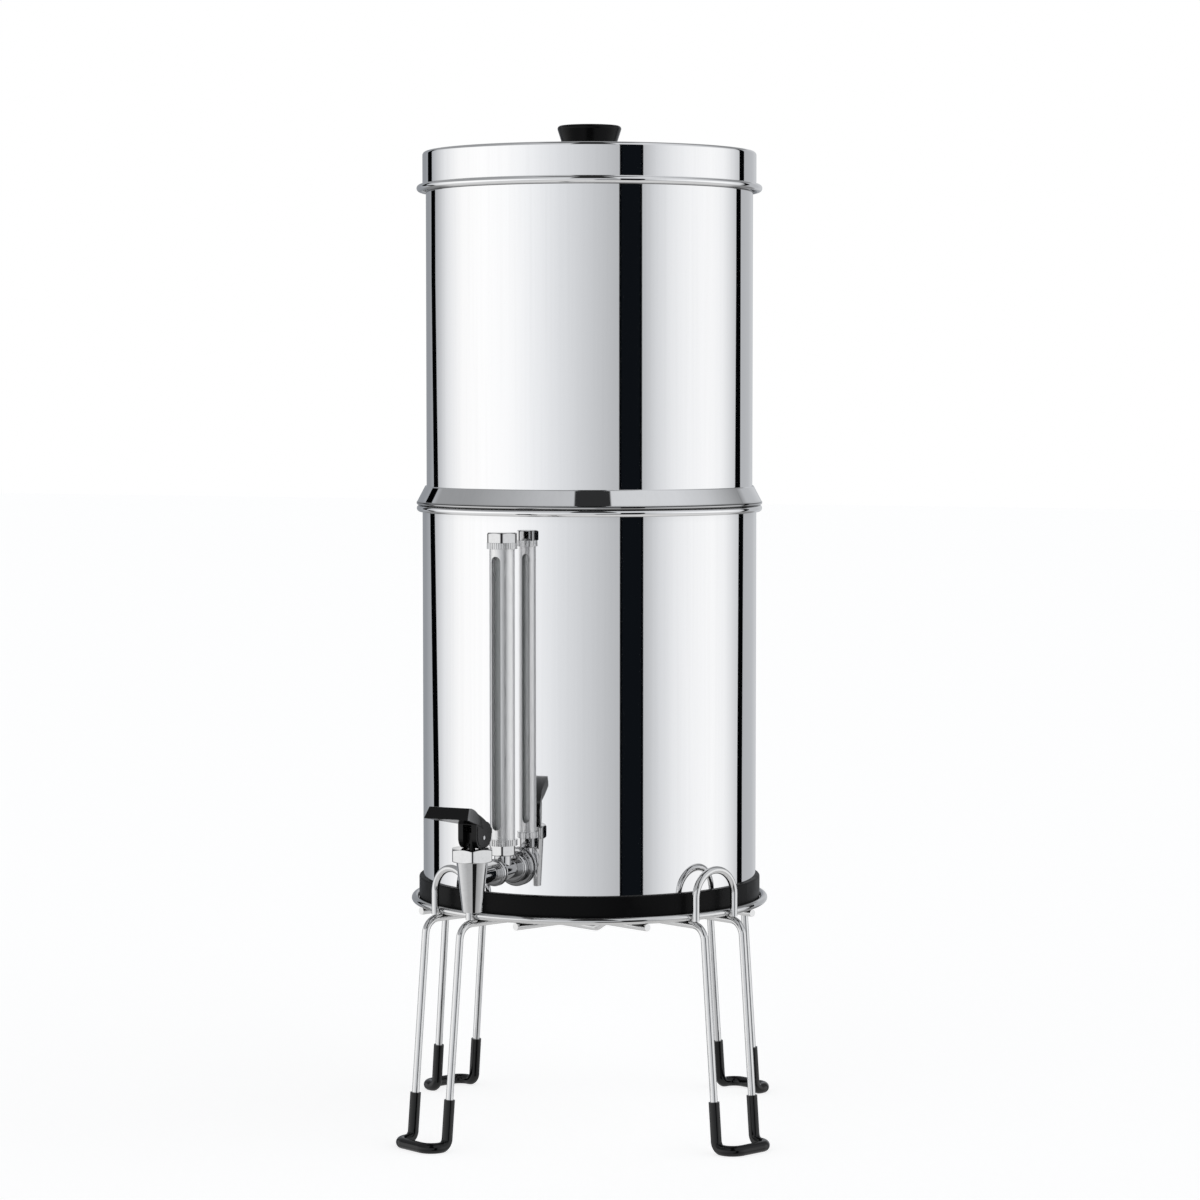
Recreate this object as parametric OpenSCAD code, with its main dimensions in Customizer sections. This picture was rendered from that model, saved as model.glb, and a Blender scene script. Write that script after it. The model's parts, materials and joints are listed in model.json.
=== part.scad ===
/* [Overall] */
// height of the deck wires' tops above the floor
deck_h = 147; // [140:1:155]
// height from the deck to the lid's top edge
vessels_h = 495; // [490:1:500]
// how far the feet reach outside the hoop's centre line
foot_out = 40.6; // [38.1:0.1:43.1]
// turn of the stand's legs away from the tap
stand_turn = -23.1; // [-30:0.1:-15]

/* [Stand] */
// wire diameter
wire_d = 4.8; // [4.6:0.1:5]
// distance of the hoop's centre line from the lower vessel's wall
hoop_out = 5.5; // [5.5:0.1:6.6]
// half the distance between the two wires of a leg
leg_half = 17; // [16:0.5:19]
// distance of the straight deck wires from the middle
cross_half = 47; // [42:1:50]
// how far the straight deck wires reach past the hoop's centre line
cross_over = 0.6; // [0.1:0.1:2.1]
// how far the leg's top corner lies outside the hoop's centre line
leg_out = 11; // [10.5:0.1:12]
// bend radius at the top of a leg
leg_bend_r = 10; // [8:0.5:10]
// bend radius above the foot
foot_bend_r = 5.5; // [4.5:0.5:7]
// bend radius of the foot's two corners
foot_corner_r = 8.5; // [7:0.5:9]
// straight wire between the foot's bend and its corner
foot_straight = 0.4; // [0.2:0.1:1.5]
// distance from the middle at which the lower wires start to rise
jog_start = 57; // [54:1:60]
// angle of that rise
jog_angle = 30; // [25:1:40]
// bend radius of that rise
jog_bend_r = 6; // [4:0.5:6.5]
// straight part of an arch
arch_straight = 14.5; // [8:0.5:20]

/* [Foot sleeves] */
// outer diameter
sleeve_d = 7; // [6.6:0.1:7.6]
// depth of the flat worn on the underside
sleeve_flat = 0.5; // [0.2:0.1:0.6]
// height of the sleeve's upper end
sleeve_top = 33; // [20:1:60]
// clearance to the wire, each side
sleeve_clear = 0.02; // [0.01:0.01:0.05]

/* [Base ring] */
// thickness round the vessel's wall
ring_wall = 2.8; // [2:0.1:2.8]
// height
ring_h = 17.5; // [12:0.5:20]
// width of the lip under the vessel
ring_lip_w = 6.4; // [6.4:0.1:12.4]
// thickness of the lip
ring_lip_t = 2; // [1.5:0.1:3]
// rounding of the upper edge
ring_edge_r = 1; // [0.5:0.1:1.3]

/* [Lower vessel] */
// outer radius
low_r = 110.4; // [110:0.1:110.6]
// sheet thickness
sheet_t = 0.8; // [0.6:0.1:0.9]
// outer radius of the floor's corner
corner_r = 6; // [4:0.5:6]
// outer radius of the rolled rim
curl_r = 2.3; // [2:0.1:2.4]
// height of the rim's top above the deck
low_h = 263.4; // [262:0.2:265]

/* [Upper vessel] */
// gap between the walls where it hangs in the lower vessel
nest_gap = 1.9; // [1.5:0.1:2.6]
// depth to which it hangs inside the lower vessel
nest_h = 16.4; // [12:0.2:20]
// outer radius of the rolled rim
up_curl_r = 2; // [1.6:0.1:2.2]
// distance of the rim's top under the lid's top edge
up_rim_drop = 1.6; // [1.5:0.1:3]
// height of the skirt's upper edge above the rim it rests on
skirt_h = 12.6; // [11:0.2:14]
// height of the skirt's widest point above that rim
skirt_low_h = 1.7; // [1.5:0.1:2.6]
// how far the skirt's widest part lies outside the lower vessel's wall
skirt_over = 3.9; // [3.2:0.1:4.6]
// rounding of the skirt's lower edge
skirt_edge_r = 1.1; // [0.9:0.1:1.3]

/* [Lid] */
// gap between the lid's wall and the upper vessel
lid_gap = 1.4; // [1.1:0.1:1.7]
// radius of the lid's upper corner
lid_corner_r = 2.2; // [1.6:0.1:4]
// outer radius of the rolled bead
bead_r = 2.35; // [2:0.05:2.6]
// height of the bead's middle under the lid's top edge
bead_drop = 23.8; // [20:0.2:28]
// fillet between bead and wall
bead_fillet_r = 1.5; // [1:0.1:1.5]
// rise of the shallow dome
dome_h = 4; // [2:0.5:6]
// distance of the dome's foot from the lid's wall
dome_step = 10.3; // [6.3:0.1:20.3]

/* [Knob] */
// height of the knob's top above the lid's top edge
knob_top_h = 17.4; // [16:0.1:20]
// largest radius
knob_r = 21; // [18:0.5:24]
// radius at the bottom
knob_foot_r = 17.5; // [14:0.5:17.5]
// rounding of the upper edge
knob_edge_r = 2; // [1:0.1:3]
// screw diameter
knob_screw_d = 5; // [4:0.1:5]
// screw length above the washer
knob_screw_l = 10; // [8:0.5:11]
// screw head diameter
knob_head_d = 9; // [8:0.1:10]
// screw head height
knob_head_h = 3; // [2:0.1:4]
// washer diameter
knob_washer_d = 12; // [11:0.5:16]
// washer thickness
knob_washer_t = 1; // [0.8:0.1:1.5]

/* [Filter elements] */
// distance of each element from the middle
element_x = 48; // [46:0.5:60]
// element radius
element_r = 29.5; // [26:0.5:30]
// length of the filter block
element_l = 182; // [160:1:190]
// bore of the filter block, radius
element_bore_r = 7; // [5:0.5:10]
// radius of the end pieces
element_cap_r = 31; // [30:0.5:32]
// height of the upper end piece
element_cap_h = 8; // [6:0.5:10]
// height of the lower end piece
element_base_h = 12; // [8:0.5:14]
// radius of the threaded stem
stem_r = 5; // [4.5:0.1:5.5]
// bore of the threaded stem, radius
stem_bore_r = 3; // [2:0.1:3.4]
// length of the threaded stem under the seal
stem_l = 22; // [19:0.5:30]
// seal radius
seal_r = 10; // [8:0.5:12]
// seal thickness
seal_t = 1.5; // [1:0.1:2.5]
// hub radius of the wing nut
wing_hub_r = 8; // [7:0.5:9]
// hub height of the wing nut
wing_hub_h = 9; // [7:0.5:11]
// reach of the wings
wing_reach = 18; // [15:0.5:22]
// thickness of the wings
wing_t = 2.6; // [2:0.1:3.2]
// height of the wings
wing_h = 15; // [12:0.5:16]

/* [Tap connection] */
// height of the tap's axis above the deck
tap_h = 35.6; // [33:0.2:40]
// shank radius
shank_r = 6; // [5.5:0.1:6]
// bore of the tap, radius
water_r = 4; // [3:0.1:4.2]
// how far the shank reaches inside the vessel
shank_in = 13; // [12:0.5:20]
// thickness of the rubber gaskets
gasket_t = 1.5; // [1:0.1:2]
// radius of the outer gasket
gasket_r = 11.6; // [10.8:0.1:11.8]
// flange radius
flange_r = 12.35; // [12:0.05:13]
// flange thickness
flange_t = 2.1; // [1.6:0.1:2.6]
// radius of the ring nut
back_nut_r = 9.8; // [9.4:0.1:11]
// length of the ring nut
back_nut_l = 5.4; // [4.8:0.1:6.4]
// rounding of the ring nut
back_nut_edge = 1.8; // [0.8:0.1:2]
// width across flats of the inner nut
inner_nut_af = 19; // [18:0.5:22]
// length of the inner nut
inner_nut_l = 7; // [5:0.5:8]
// radius of the tee's barrel
tee_r = 6.4; // [6.2:0.1:7]
// distance of the tee's end from the vessel's wall
tee_l = 28.8; // [28:0.1:29.8]
// length of the tee's spigot inside the coupling ring
spigot_l = 4; // [3.5:0.5:4.5]
// radius of the spigot and of the spout's inlet tube
inlet_r = 5.3; // [5:0.1:5.5]
// radius of the coupling ring
collar_r = 8.4; // [7.6:0.1:8.6]
// length of the coupling ring
collar_l = 6; // [5.5:0.5:8]
// distance between the tee's barrel and the coupling ring
collar_gap = 1; // [0.5:0.1:1.5]
// rounding of the coupling ring
collar_edge = 1.6; // [0.6:0.1:1.8]

/* [Spout] */
// distance of the spout's axis from the tee's end
spout_out = 36; // [35.2:0.1:37]
// radius of the spout body's upper end
spout_top_r = 10; // [9.8:0.1:10.3]
// radius of the outlet
spout_low_r = 6.2; // [5.9:0.1:6.4]
// height of the spout body's upper end above the tap's axis
spout_top_h = 11; // [10.6:0.1:11.6]
// depth of the outlet below the tap's axis
spout_drop = 20.6; // [19:0.1:23]
// radius of the valve chamber
chamber_r = 6.2; // [6:0.1:6.4]
// depth of the valve seat below the tap's axis
seat_drop = 6.2; // [5.8:0.1:6.6]
// radius of the neck inside the bonnet
neck_r = 8.5; // [8.2:0.1:8.8]
// height of the neck
neck_h = 4.5; // [4:0.1:4.8]
// bonnet, width across flats
bonnet_af = 24.9; // [24:0.1:26]
// bonnet height
bonnet_h = 8.2; // [8.2:0.1:9]
// height of the slope that takes the corners off the bonnet's upper and lower edges
bonnet_cham = 0.9; // [0.4:0.1:1.2]
// turn of the bonnet
bonnet_turn = -3; // [-30:1:30]

/* [Valve] */
// radius of the stem
valve_r = 2; // [1.8:0.05:2.2]
// clearance of the stem in the bonnet, each side
valve_clear = 0.08; // [0.03:0.01:0.1]
// radius of the seal
cup_r = 5.2; // [4.8:0.1:5.4]
// height of the seal
cup_h = 5; // [4:0.1:5.5]
// thickness of the collar that the spring pushes on
thrust_t = 1.5; // [1:0.1:2]
// outer radius of the spring
spring_r = 5; // [4.5:0.1:5.2]
// radial depth of the spring
spring_t = 1.2; // [0.8:0.1:1.5]
// width of the stem's head between the cheeks
head_w = 5.4; // [5:0.1:5.4]
// radius of the stem's head round the pin
head_r = 3.5; // [3:0.1:3.7]

/* [Lever] */
// distance of the pin behind the stem's axis
pin_back = 3.4; // [3:0.1:3.8]
// height of the pin above the bonnet
pin_h = 6.4; // [6.2:0.05:6.6]
// pin radius
pin_r = 1.25; // [1.1:0.05:1.4]
// clearance of the pin in the stem's head, each side
pin_clear = 0.05; // [0.03:0.01:0.08]
// how far the pin stands out of each cheek
pin_proud = 0.15; // [0.05:0.05:0.3]
// cheek thickness
cheek_t = 3.75; // [3.4:0.05:4]
// distance between the cheeks
cheek_gap = 5.8; // [5.6:0.1:6.4]
// distance from the pin back to the cheeks' rear edge
cheek_rear = 11.3; // [10:0.1:12]
// distance from the pin forward to the front corner's middle
cam_fwd = 3.5; // [3:0.1:3.8]
// height of that middle above the pin
cam_up = 0.5; // [0.4:0.1:0.8]
// gap between the cheeks and the bonnet
cam_gap = 0.1; // [0.05:0.05:0.3]
// radius of the cheeks' rear corner
cheek_rear_r = 8; // [6:0.1:8.5]
// distance from the pin forward to the paddle's tip
paddle_fwd = 39.7; // [35:0.1:44]
// height of the paddle's lower front edge above the pin
paddle_low_h = 15.6; // [14:0.1:17]
// how far the upper front edge lies behind the lower one
paddle_lean = 5; // [3:0.1:6]
// height of the upper front edge above the pin
paddle_top_h = 22.3; // [20:0.1:24]
// height of the lever's back edge above the pin
back_top_h = 4.6; // [4:0.1:7]
// bulge of the lever's upper side
paddle_bulge = 3.4; // [2:0.1:4.5]
// half width of the paddle's front
paddle_half = 15; // [12:0.5:17]
// distance from the pin forward to the end of the paddle's taper
taper_fwd = 8; // [6:0.1:12]
// height of the paddle's underside at the cheeks above the pin
under_h = 8.8; // [8:0.1:9.5]
// thickness of the lever at its back edge
rear_t = 3; // [2.4:0.1:3.6]
// thickness of the raised panels on the cheeks
panel_t = 0.3; // [0.2:0.05:0.5]
// distance of the panels from the cheeks' edge
panel_edge = 1.6; // [1:0.1:2.5]

/* [Level gauge] */
// distance of the gauge's axis from the vessel's wall
gauge_out = 21.7; // [20.6:0.1:22.6]
// radius of the tee's boss under the gauge
boss_r = 5.5; // [5:0.1:6]
// height of the boss above the tap's axis
boss_h = 9.8; // [9:0.1:10.5]
// radius of the boss's neck
boss_neck_r = 4; // [3.6:0.1:4.2]
// length of the boss's neck
boss_neck_l = 2.4; // [2:0.1:3]
// radius of the gauge's waterway
gauge_way_r = 2.5; // [2:0.1:3]
// hexagonal base, width across flats
union_af = 16; // [15:0.1:17.5]
// height of the hexagonal base
union_h = 6.4; // [6:0.1:7]
// height of the toothed rings
knurl_h = 3.9; // [3.5:0.1:4.5]
// radius of the toothed rings
knurl_r = 9.7; // [9.2:0.1:10.4]
// depth of the teeth
knurl_t = 0.6; // [0.4:0.1:0.8]
// outer radius of the guard tube
guard_r = 8; // [7.7:0.1:8.3]
// wall of the guard tube
guard_t = 1.5; // [1.2:0.1:1.6]
// length of the guard tube
guard_l = 183.5; // [170:0.5:186]
// width of the guard's slots
slot_w = 6.5; // [5.5:0.1:7.5]
// distance of the slots from the lower end
slot_low = 6; // [5:0.1:9]
// distance of the slots from the upper end
slot_high = 4.7; // [4.6:0.1:9]
// turn of the slots
slot_turn = -6; // [-20:1:20]
// outer radius of the glass tube
glass_r = 5; // [4.6:0.1:5]
// wall of the glass tube
glass_t = 1.5; // [1:0.1:1.6]
// depth of the end sockets that hold the glass
socket_l = 4.5; // [3.5:0.1:4.5]
// wall of those sockets
socket_t = 0.7; // [0.5:0.1:0.8]
// height of the gauge's seals
gauge_seal_h = 3; // [2:0.1:3.4]
// hexagonal cap, width across flats
cap_af = 18.4; // [17:0.1:19]
// height of the hexagonal cap
cap_h = 6.4; // [5:0.1:8]

/* [Fits] */
// clearance between pieces that are screwed or pressed together, each side
fit = 0.05; // [0.03:0.01:0.08]
// clearance between vessels and what they rest on
rest_gap = 0.05; // [0.03:0.01:0.1]
// clearance of the shank in the vessel wall, each side
hole_clear = 0.25; // [0.15:0.05:0.5]
// overlap of cutting tools
cut = 1; // [0.5:0.1:2]
// how far a straight wire reaches into a bend
lap = 0.2; // [0.15:0.05:0.3]
// how much thicker a wire is in its bends
swell = 0.04; // [0.03:0.01:0.08]

/* [Hidden] */
// number of facets used for preview only
$fn = 96;
// number of teeth on the gauge's rings
teeth = 40;
// facets of wide circles, in preview only
fine = 720;
// share of a ring's pitch that a tooth's top takes
tooth_share = 0.5;

wire_r = wire_d / 2;
deck_z = deck_h - wire_r;
hoop_z = deck_z + wire_d;
lid_top = deck_h + vessels_h;
hoop_r = low_r + hoop_out;
ring_r = low_r + ring_wall;
ring_lip_r = low_r - ring_lip_w;
skirt_r = low_r + skirt_over;
up_r = low_r - sheet_t - nest_gap;
lid_r = up_r + lid_gap + sheet_t;
dome_foot_r = lid_r - dome_step;
tee_end_r = low_r + tee_l;
spout_y = tee_end_r + spout_out;
gauge_y = low_r + gauge_out;

// stand
foot_z = sleeve_d / 2 - sleeve_flat;
tip_r = hoop_r + foot_out - sleeve_d / 2;
leg_top_r = hoop_r + leg_out;
leg_drop = deck_z - foot_z;
function corner_len(angle, bend) = bend * tan((90 - angle) / 2);
function splay_from(s, n) = n == 0 ? s :
  splay_from(atan((tip_r - foot_corner_r - foot_straight - corner_len(s, foot_bend_r) - leg_top_r)
                  / leg_drop), n - 1);
splay = splay_from(5, 12);
leg_low_r = leg_top_r + leg_drop * tan(splay);
shin_l = leg_drop / cos(splay) - corner_len(splay, leg_bend_r) - corner_len(splay, foot_bend_r);
foot_steps = [[foot_straight, 90, 90, foot_corner_r]];
leg_steps = concat([[shin_l, 180, 90 - splay, foot_bend_r]], foot_steps);
top_run = leg_top_r - corner_len(splay, leg_bend_r);
upper_steps = concat([[0, 0, 90 - splay, leg_bend_r]], leg_steps);
jog_l = wire_d / tan(jog_angle) + 2 * jog_bend_r * tan(jog_angle / 2);
jog_run = wire_d / sin(jog_angle) - 2 * jog_bend_r * tan(jog_angle / 2);
jog_steps = [[0, 180, jog_angle, jog_bend_r], [jog_run, 180, jog_angle, jog_bend_r]];
lower_steps = concat(jog_steps, [[top_run - jog_start - jog_l, 0, 90 - splay, leg_bend_r]], leg_steps);
cross_end_r = hoop_r + cross_over;
cross_l = sqrt(cross_end_r * cross_end_r - cross_half * cross_half);
arch_r = sqrt((hoop_r + wire_d) * (hoop_r + wire_d) - leg_half * leg_half);

// vessels
ring_z = deck_h + rest_gap;
low_z = ring_z + ring_lip_t;
low_top = deck_h + low_h;
low_curl_z = low_top - curl_r;
skirt_z = low_top + rest_gap;
up_z = low_top - nest_h;
up_top = lid_top - up_rim_drop;
up_curl_z = up_top - up_curl_r;
dome_r = (dome_foot_r * dome_foot_r + dome_h * dome_h) / (2 * dome_h);
dome_z = lid_top + dome_h;
bead_z = lid_top - bead_drop;
bead_x = lid_r - sheet_t + bead_r;
fillet_x = lid_r + bead_fillet_r;
fillet_z = bead_z + sqrt((bead_r + bead_fillet_r) * (bead_r + bead_fillet_r)
                         - (bead_x - fillet_x) * (bead_x - fillet_x));
knob_z = dome_z + rest_gap;
knob_top = lid_top + knob_top_h;
washer_z = dome_z - sheet_t - fit - knob_washer_t;

// tap
tap_z = deck_h + tap_h;
gasket_end = low_r + gasket_t;
flange_end = gasket_end + flange_t;
back_nut_end = flange_end + back_nut_l;
collar_start = tee_end_r + collar_gap;
spout_top = tap_z + spout_top_h;
spout_low = tap_z - spout_drop;
seat_z = tap_z - seat_drop;
neck_top = spout_top + neck_h;
bonnet_top = spout_top + bonnet_h;
ceiling_z = neck_top + fit;
cup_z = seat_z + fit;
thrust_z = cup_z + cup_h;
spring_z = thrust_z + thrust_t;
pin_y = spout_y - pin_back;
pin_z = bonnet_top + pin_h;
cam_r = pin_h + cam_up - cam_gap;
cheek_low = pin_z + cam_up - cam_r;
lever_half = cheek_gap / 2 + cheek_t;
cam_front = cam_fwd + cam_r;
under_front = under_h + (cam_front - taper_fwd) * (paddle_low_h - under_h) / (paddle_fwd - taper_fwd);

// gauge
union_z = tap_z + boss_h;
knurl_z = union_z + union_h;
guard_z = knurl_z + knurl_h;
guard_top = guard_z + guard_l;
cap_z = guard_top + knurl_h;
socket_r = guard_r - guard_t - fit;
pocket_r = socket_r - socket_t;

// wire or tube bent along a list of steps, each a feed, a roll, a turn and a bend radius;
// a straight length reaches a little way into the bends beside it
module bent(steps, d, i = 0) {
  if (i < len(steps)) {
    feed = steps[i][0];
    turn = steps[i][2];
    bend = steps[i][3];
    low = i == 0 ? 0 : lap;
    high = turn > 0 ? lap : 0;
    if (feed > 0) translate([0, 0, -low]) cylinder(h = feed + low + high, d = d);
    translate([0, 0, feed]) rotate([0, 0, steps[i][1]]) {
      if (turn > 0) {
        translate([bend, 0, 0]) rotate([90, 0, 180]) rotate_extrude(angle = turn)
          translate([bend, 0]) circle(d = d + swell);
        translate([bend, 0, 0]) rotate([0, turn, 0]) translate([-bend, 0, 0]) bent(steps, d, i + 1);
      }
    }
  }
}

// straight wire through the middle, across the part
module middle_wire(x, half, z) {
  translate([x, half + lap, z]) rotate([90, 0, 0]) cylinder(h = 2 * (half + lap), d = wire_d);
}

module both_sides() {
  children();
  mirror([1, 0, 0]) children();
}

module about(y, z = 0) {
  translate([0, -y, z]) children();
}

// turns the upright axis to point out of the vessel along the tap
module outward() {
  translate([0, 0, tap_z]) rotate([90, 0, 0]) children();
}

// rectangle with rounded corners, standing on its lower left corner
module soft_rect(w, h, r) {
  translate([r, 0]) square([w - 2 * r, h]);
  translate([0, r]) square([w, h - 2 * r]);
  for (x = [r, w - r]) for (y = [r, h - r]) translate([x, y]) circle(r = r);
}

// ring turned from a rounded section
module soft_ring(inner, outer, h, r) {
  difference() {
    cylinder(h = h, r = inner + r);
    translate([0, 0, -cut]) cylinder(h = h + 2 * cut, r = inner);
  }
  rotate_extrude() difference() {
    translate([inner, 0]) soft_rect(outer - inner, h, r);
    square([inner + r / 2, h]);
  }
}

module tube(h, outer, inner) {
  difference() {
    cylinder(h = h, r = outer);
    translate([0, 0, -cut]) cylinder(h = h + 2 * cut, r = inner);
  }
}

// hexagonal bar whose ends are turned to a slope
module hex_nut(af, h, low_cham, top_cham) {
  corner = af / sqrt(3);
  intersection() {
    cylinder(h = h, r = corner, $fn = 6);
    rotate_extrude() polygon([[0, 0], [corner - 2 * low_cham, 0], [corner, low_cham],
      [corner, h - top_cham], [corner - 2 * top_cham, h], [0, h]]);
  }
}

module toothed_ring(h, r, t, inner) {
  pitch = 360 / teeth;
  flat = pitch * tooth_share / 2;
  pts = [for (i = [0 : teeth - 1]) for (k = [[-flat, r], [flat, r], [pitch / 2, r - t]])
    [k[1] * cos(i * pitch + k[0]), k[1] * sin(i * pitch + k[0])]];
  difference() {
    linear_extrude(height = h) polygon(pts);
    translate([0, 0, -cut]) cylinder(h = h + 2 * cut, r = inner);
  }
}

// outline of a pot from the middle to its wall
module pot_outline(r, z, top, corner) {
  translate([0, z]) square([r - corner, top - z]);
  translate([0, z + corner]) square([r, top - z - corner]);
  translate([r - corner, z + corner]) circle(r = corner);
}

// straight end of a foot
module foot_tip(d) {
  half = leg_half - foot_corner_r + lap;
  translate([-half, -tip_r, foot_z]) rotate([0, 90, 0]) cylinder(h = 2 * half, d = d);
}

module leg_loop(start, steps, z) {
  for (x = [-leg_half, leg_half]) middle_wire(x, start, z);
  for (turn = [0, 180]) rotate([0, 0, turn]) {
    both_sides() translate([leg_half, -start, z]) rotate([90, 90, 0]) bent(steps, wire_d);
    foot_tip(wire_d);
  }
}

module leg_loop_upper() {
  color("silver") rotate([0, 0, stand_turn]) leg_loop(top_run, upper_steps, deck_z);
}

module leg_loop_lower() {
  color("silver") rotate([0, 0, stand_turn + 90]) leg_loop(jog_start, lower_steps, deck_z - wire_d);
}

module stand_hoop() {
  color("silver") translate([0, 0, hoop_z]) rotate_extrude() translate([hoop_r, 0]) circle(d = wire_d);
}

module deck_wire_upper(side) {
  color("silver") rotate([0, 0, stand_turn]) translate([side * cross_half, cross_l, deck_z])
    rotate([90, 0, 0]) cylinder(h = 2 * cross_l, d = wire_d);
}

module deck_wire_lower(side) {
  color("silver") rotate([0, 0, stand_turn + 90]) {
    middle_wire(side * cross_half, jog_start, deck_z - wire_d);
    for (turn = [0, 180]) rotate([0, 0, turn])
      translate([(turn == 0 ? 1 : -1) * side * cross_half, -jog_start, deck_z - wire_d])
        rotate([90, 90, 0]) bent(concat(jog_steps, [[cross_l - jog_start - jog_l, 0, 0, 0]]), wire_d);
  }
}

module arch(turn) {
  color("silver") rotate([0, 0, stand_turn + turn]) translate([leg_half, -arch_r, deck_h + swell])
    rotate([0, 0, 180]) bent([[arch_straight, 0, 180, leg_half], [arch_straight, 0, 0, 0]], wire_d);
}

// tube that follows the wire of one foot
module foot_tube(d, top) {
  rise = top - foot_z;
  both_sides() translate([leg_half, -(leg_low_r - rise * tan(splay)), top])
    rotate([90, 90, 0]) rotate([0, 90 - splay, 0])
      bent(concat([[rise / cos(splay) - corner_len(splay, foot_bend_r), 180, 90 - splay, foot_bend_r]],
                  foot_steps), d);
  foot_tip(d);
}

module foot_sleeve(turn) {
  color("dimgray") rotate([0, 0, stand_turn + turn]) difference() {
    foot_tube(sleeve_d, sleeve_top);
    foot_tube(wire_d + 2 * sleeve_clear, sleeve_top + cut);
    translate([-leg_half - sleeve_d, -tip_r - sleeve_d, -sleeve_d])
      cube([2 * (leg_half + sleeve_d), tip_r - leg_top_r + 2 * sleeve_d, sleeve_d]);
  }
}

module lower_vessel() {
  color("gainsboro") difference() {
    rotate_extrude() difference() {
      union() {
        difference() {
          pot_outline(low_r, low_z, low_curl_z, corner_r);
          pot_outline(low_r - sheet_t, low_z + sheet_t, low_curl_z + cut, corner_r - sheet_t);
        }
        translate([low_r - sheet_t + curl_r, low_curl_z]) circle(r = curl_r);
      }
      translate([low_r - sheet_t + curl_r, low_curl_z]) circle(r = curl_r - sheet_t);
      translate([low_r, low_curl_z - curl_r - cut]) square([curl_r - sheet_t, curl_r + cut]);
    }
    outward() translate([0, 0, low_r - 2 * corner_r]) cylinder(h = 4 * corner_r, r = shank_r + hole_clear);
  }
}

module base_ring() {
  color("dimgray") rotate_extrude() difference() {
    union() {
      translate([ring_lip_r, ring_z]) square([ring_r - ring_lip_r, ring_h - ring_edge_r]);
      translate([ring_lip_r, ring_z]) square([ring_r - ring_lip_r - ring_edge_r, ring_h]);
      translate([ring_r - ring_edge_r, ring_z + ring_h - ring_edge_r]) circle(r = ring_edge_r);
    }
    pot_outline(low_r + fit, low_z, low_z + 2 * ring_h, corner_r + fit);
  }
}

// disc on the tap's axis that meets the vessel's wall from outside or from inside
module wall_disc(r, from, to, outside) {
  difference() {
    outward() translate([0, 0, from]) tube(to - from, r, shank_r + fit);
    if (outside) translate([0, 0, tap_z - 2 * r]) cylinder(h = 4 * r, r = low_r + fit, $fn = fine);
  }
}

module tap_outer_gasket() {
  color("dimgray") wall_disc(gasket_r, low_r - gasket_t, gasket_end - fit, true);
}

module tap_inner_gasket() {
  color("dimgray") intersection() {
    wall_disc(gasket_r, low_r - sheet_t - 2 * gasket_t, low_r, false);
    translate([0, 0, tap_z - 2 * gasket_r]) cylinder(h = 4 * gasket_r, r = low_r - sheet_t - fit, $fn = fine);
  }
}

module tap_inner_nut() {
  color("silver") outward() translate([0, 0, low_r - sheet_t - 2 * gasket_t - fit - inner_nut_l])
    difference() {
      hex_nut(inner_nut_af, inner_nut_l, bonnet_cham, bonnet_cham);
      translate([0, 0, -cut]) cylinder(h = inner_nut_l + 2 * cut, r = shank_r + fit);
    }
}

module tap_flange() {
  color("silver") outward() translate([0, 0, gasket_end])
    soft_ring(shank_r + fit, flange_r, flange_t - fit, flange_t / 3);
}

module tap_ring_nut() {
  color("silver") outward() translate([0, 0, flange_end])
    soft_ring(shank_r + fit, back_nut_r, back_nut_l - fit, back_nut_edge);
}

module tap_tee() {
  color("silver") difference() {
    union() {
      outward() {
        translate([0, 0, low_r - sheet_t - shank_in]) cylinder(h = tee_end_r - low_r + sheet_t + shank_in - cut,
                                                               r = shank_r);
        translate([0, 0, back_nut_end]) cylinder(h = tee_end_r - back_nut_end, r = tee_r);
        translate([0, 0, tee_end_r - cut]) cylinder(h = spigot_l + cut, r = inlet_r);
      }
      about(gauge_y, tap_z) {
        cylinder(h = boss_h, r = boss_r);
        cylinder(h = boss_h + boss_neck_l, r = boss_neck_r);
      }
    }
    outward() translate([0, 0, low_r - sheet_t - shank_in - cut])
      cylinder(h = tee_end_r - low_r + sheet_t + shank_in + spigot_l + 2 * cut, r = water_r);
    about(gauge_y, tap_z) cylinder(h = boss_h + boss_neck_l + cut, r = gauge_way_r);
  }
}

module tap_coupling_ring() {
  color("silver") outward() translate([0, 0, collar_start])
    soft_ring(inlet_r + fit, collar_r, collar_l, collar_edge);
}

module spout_body() {
  color("silver") difference() {
    union() {
      about(spout_y, spout_low) cylinder(h = spout_top - spout_low, r1 = spout_low_r, r2 = spout_top_r);
      about(spout_y, spout_top) cylinder(h = neck_h, r = neck_r);
      outward() translate([0, 0, tee_end_r + spigot_l + fit])
        cylinder(h = spout_y - tee_end_r - spigot_l - fit, r = inlet_r);
    }
    about(spout_y, spout_low - cut) cylinder(h = seat_z - spout_low + 2 * cut, r = water_r);
    about(spout_y, seat_z) cylinder(h = neck_top - seat_z + cut, r = chamber_r);
    outward() translate([0, 0, tee_end_r]) cylinder(h = spout_y - tee_end_r, r = water_r);
  }
}

module bonnet() {
  color("silver") about(spout_y, spout_top) difference() {
    rotate([0, 0, bonnet_turn]) hex_nut(bonnet_af, bonnet_h, bonnet_cham, bonnet_cham);
    translate([0, 0, -cut]) cylinder(h = neck_h + fit + cut, r = neck_r + fit);
    cylinder(h = bonnet_h + cut, r = valve_r + valve_clear);
  }
}

module valve_spring() {
  color("lightgray") about(spout_y, spring_z) tube(ceiling_z - spring_z, spring_r, spring_r - spring_t);
}

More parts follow.
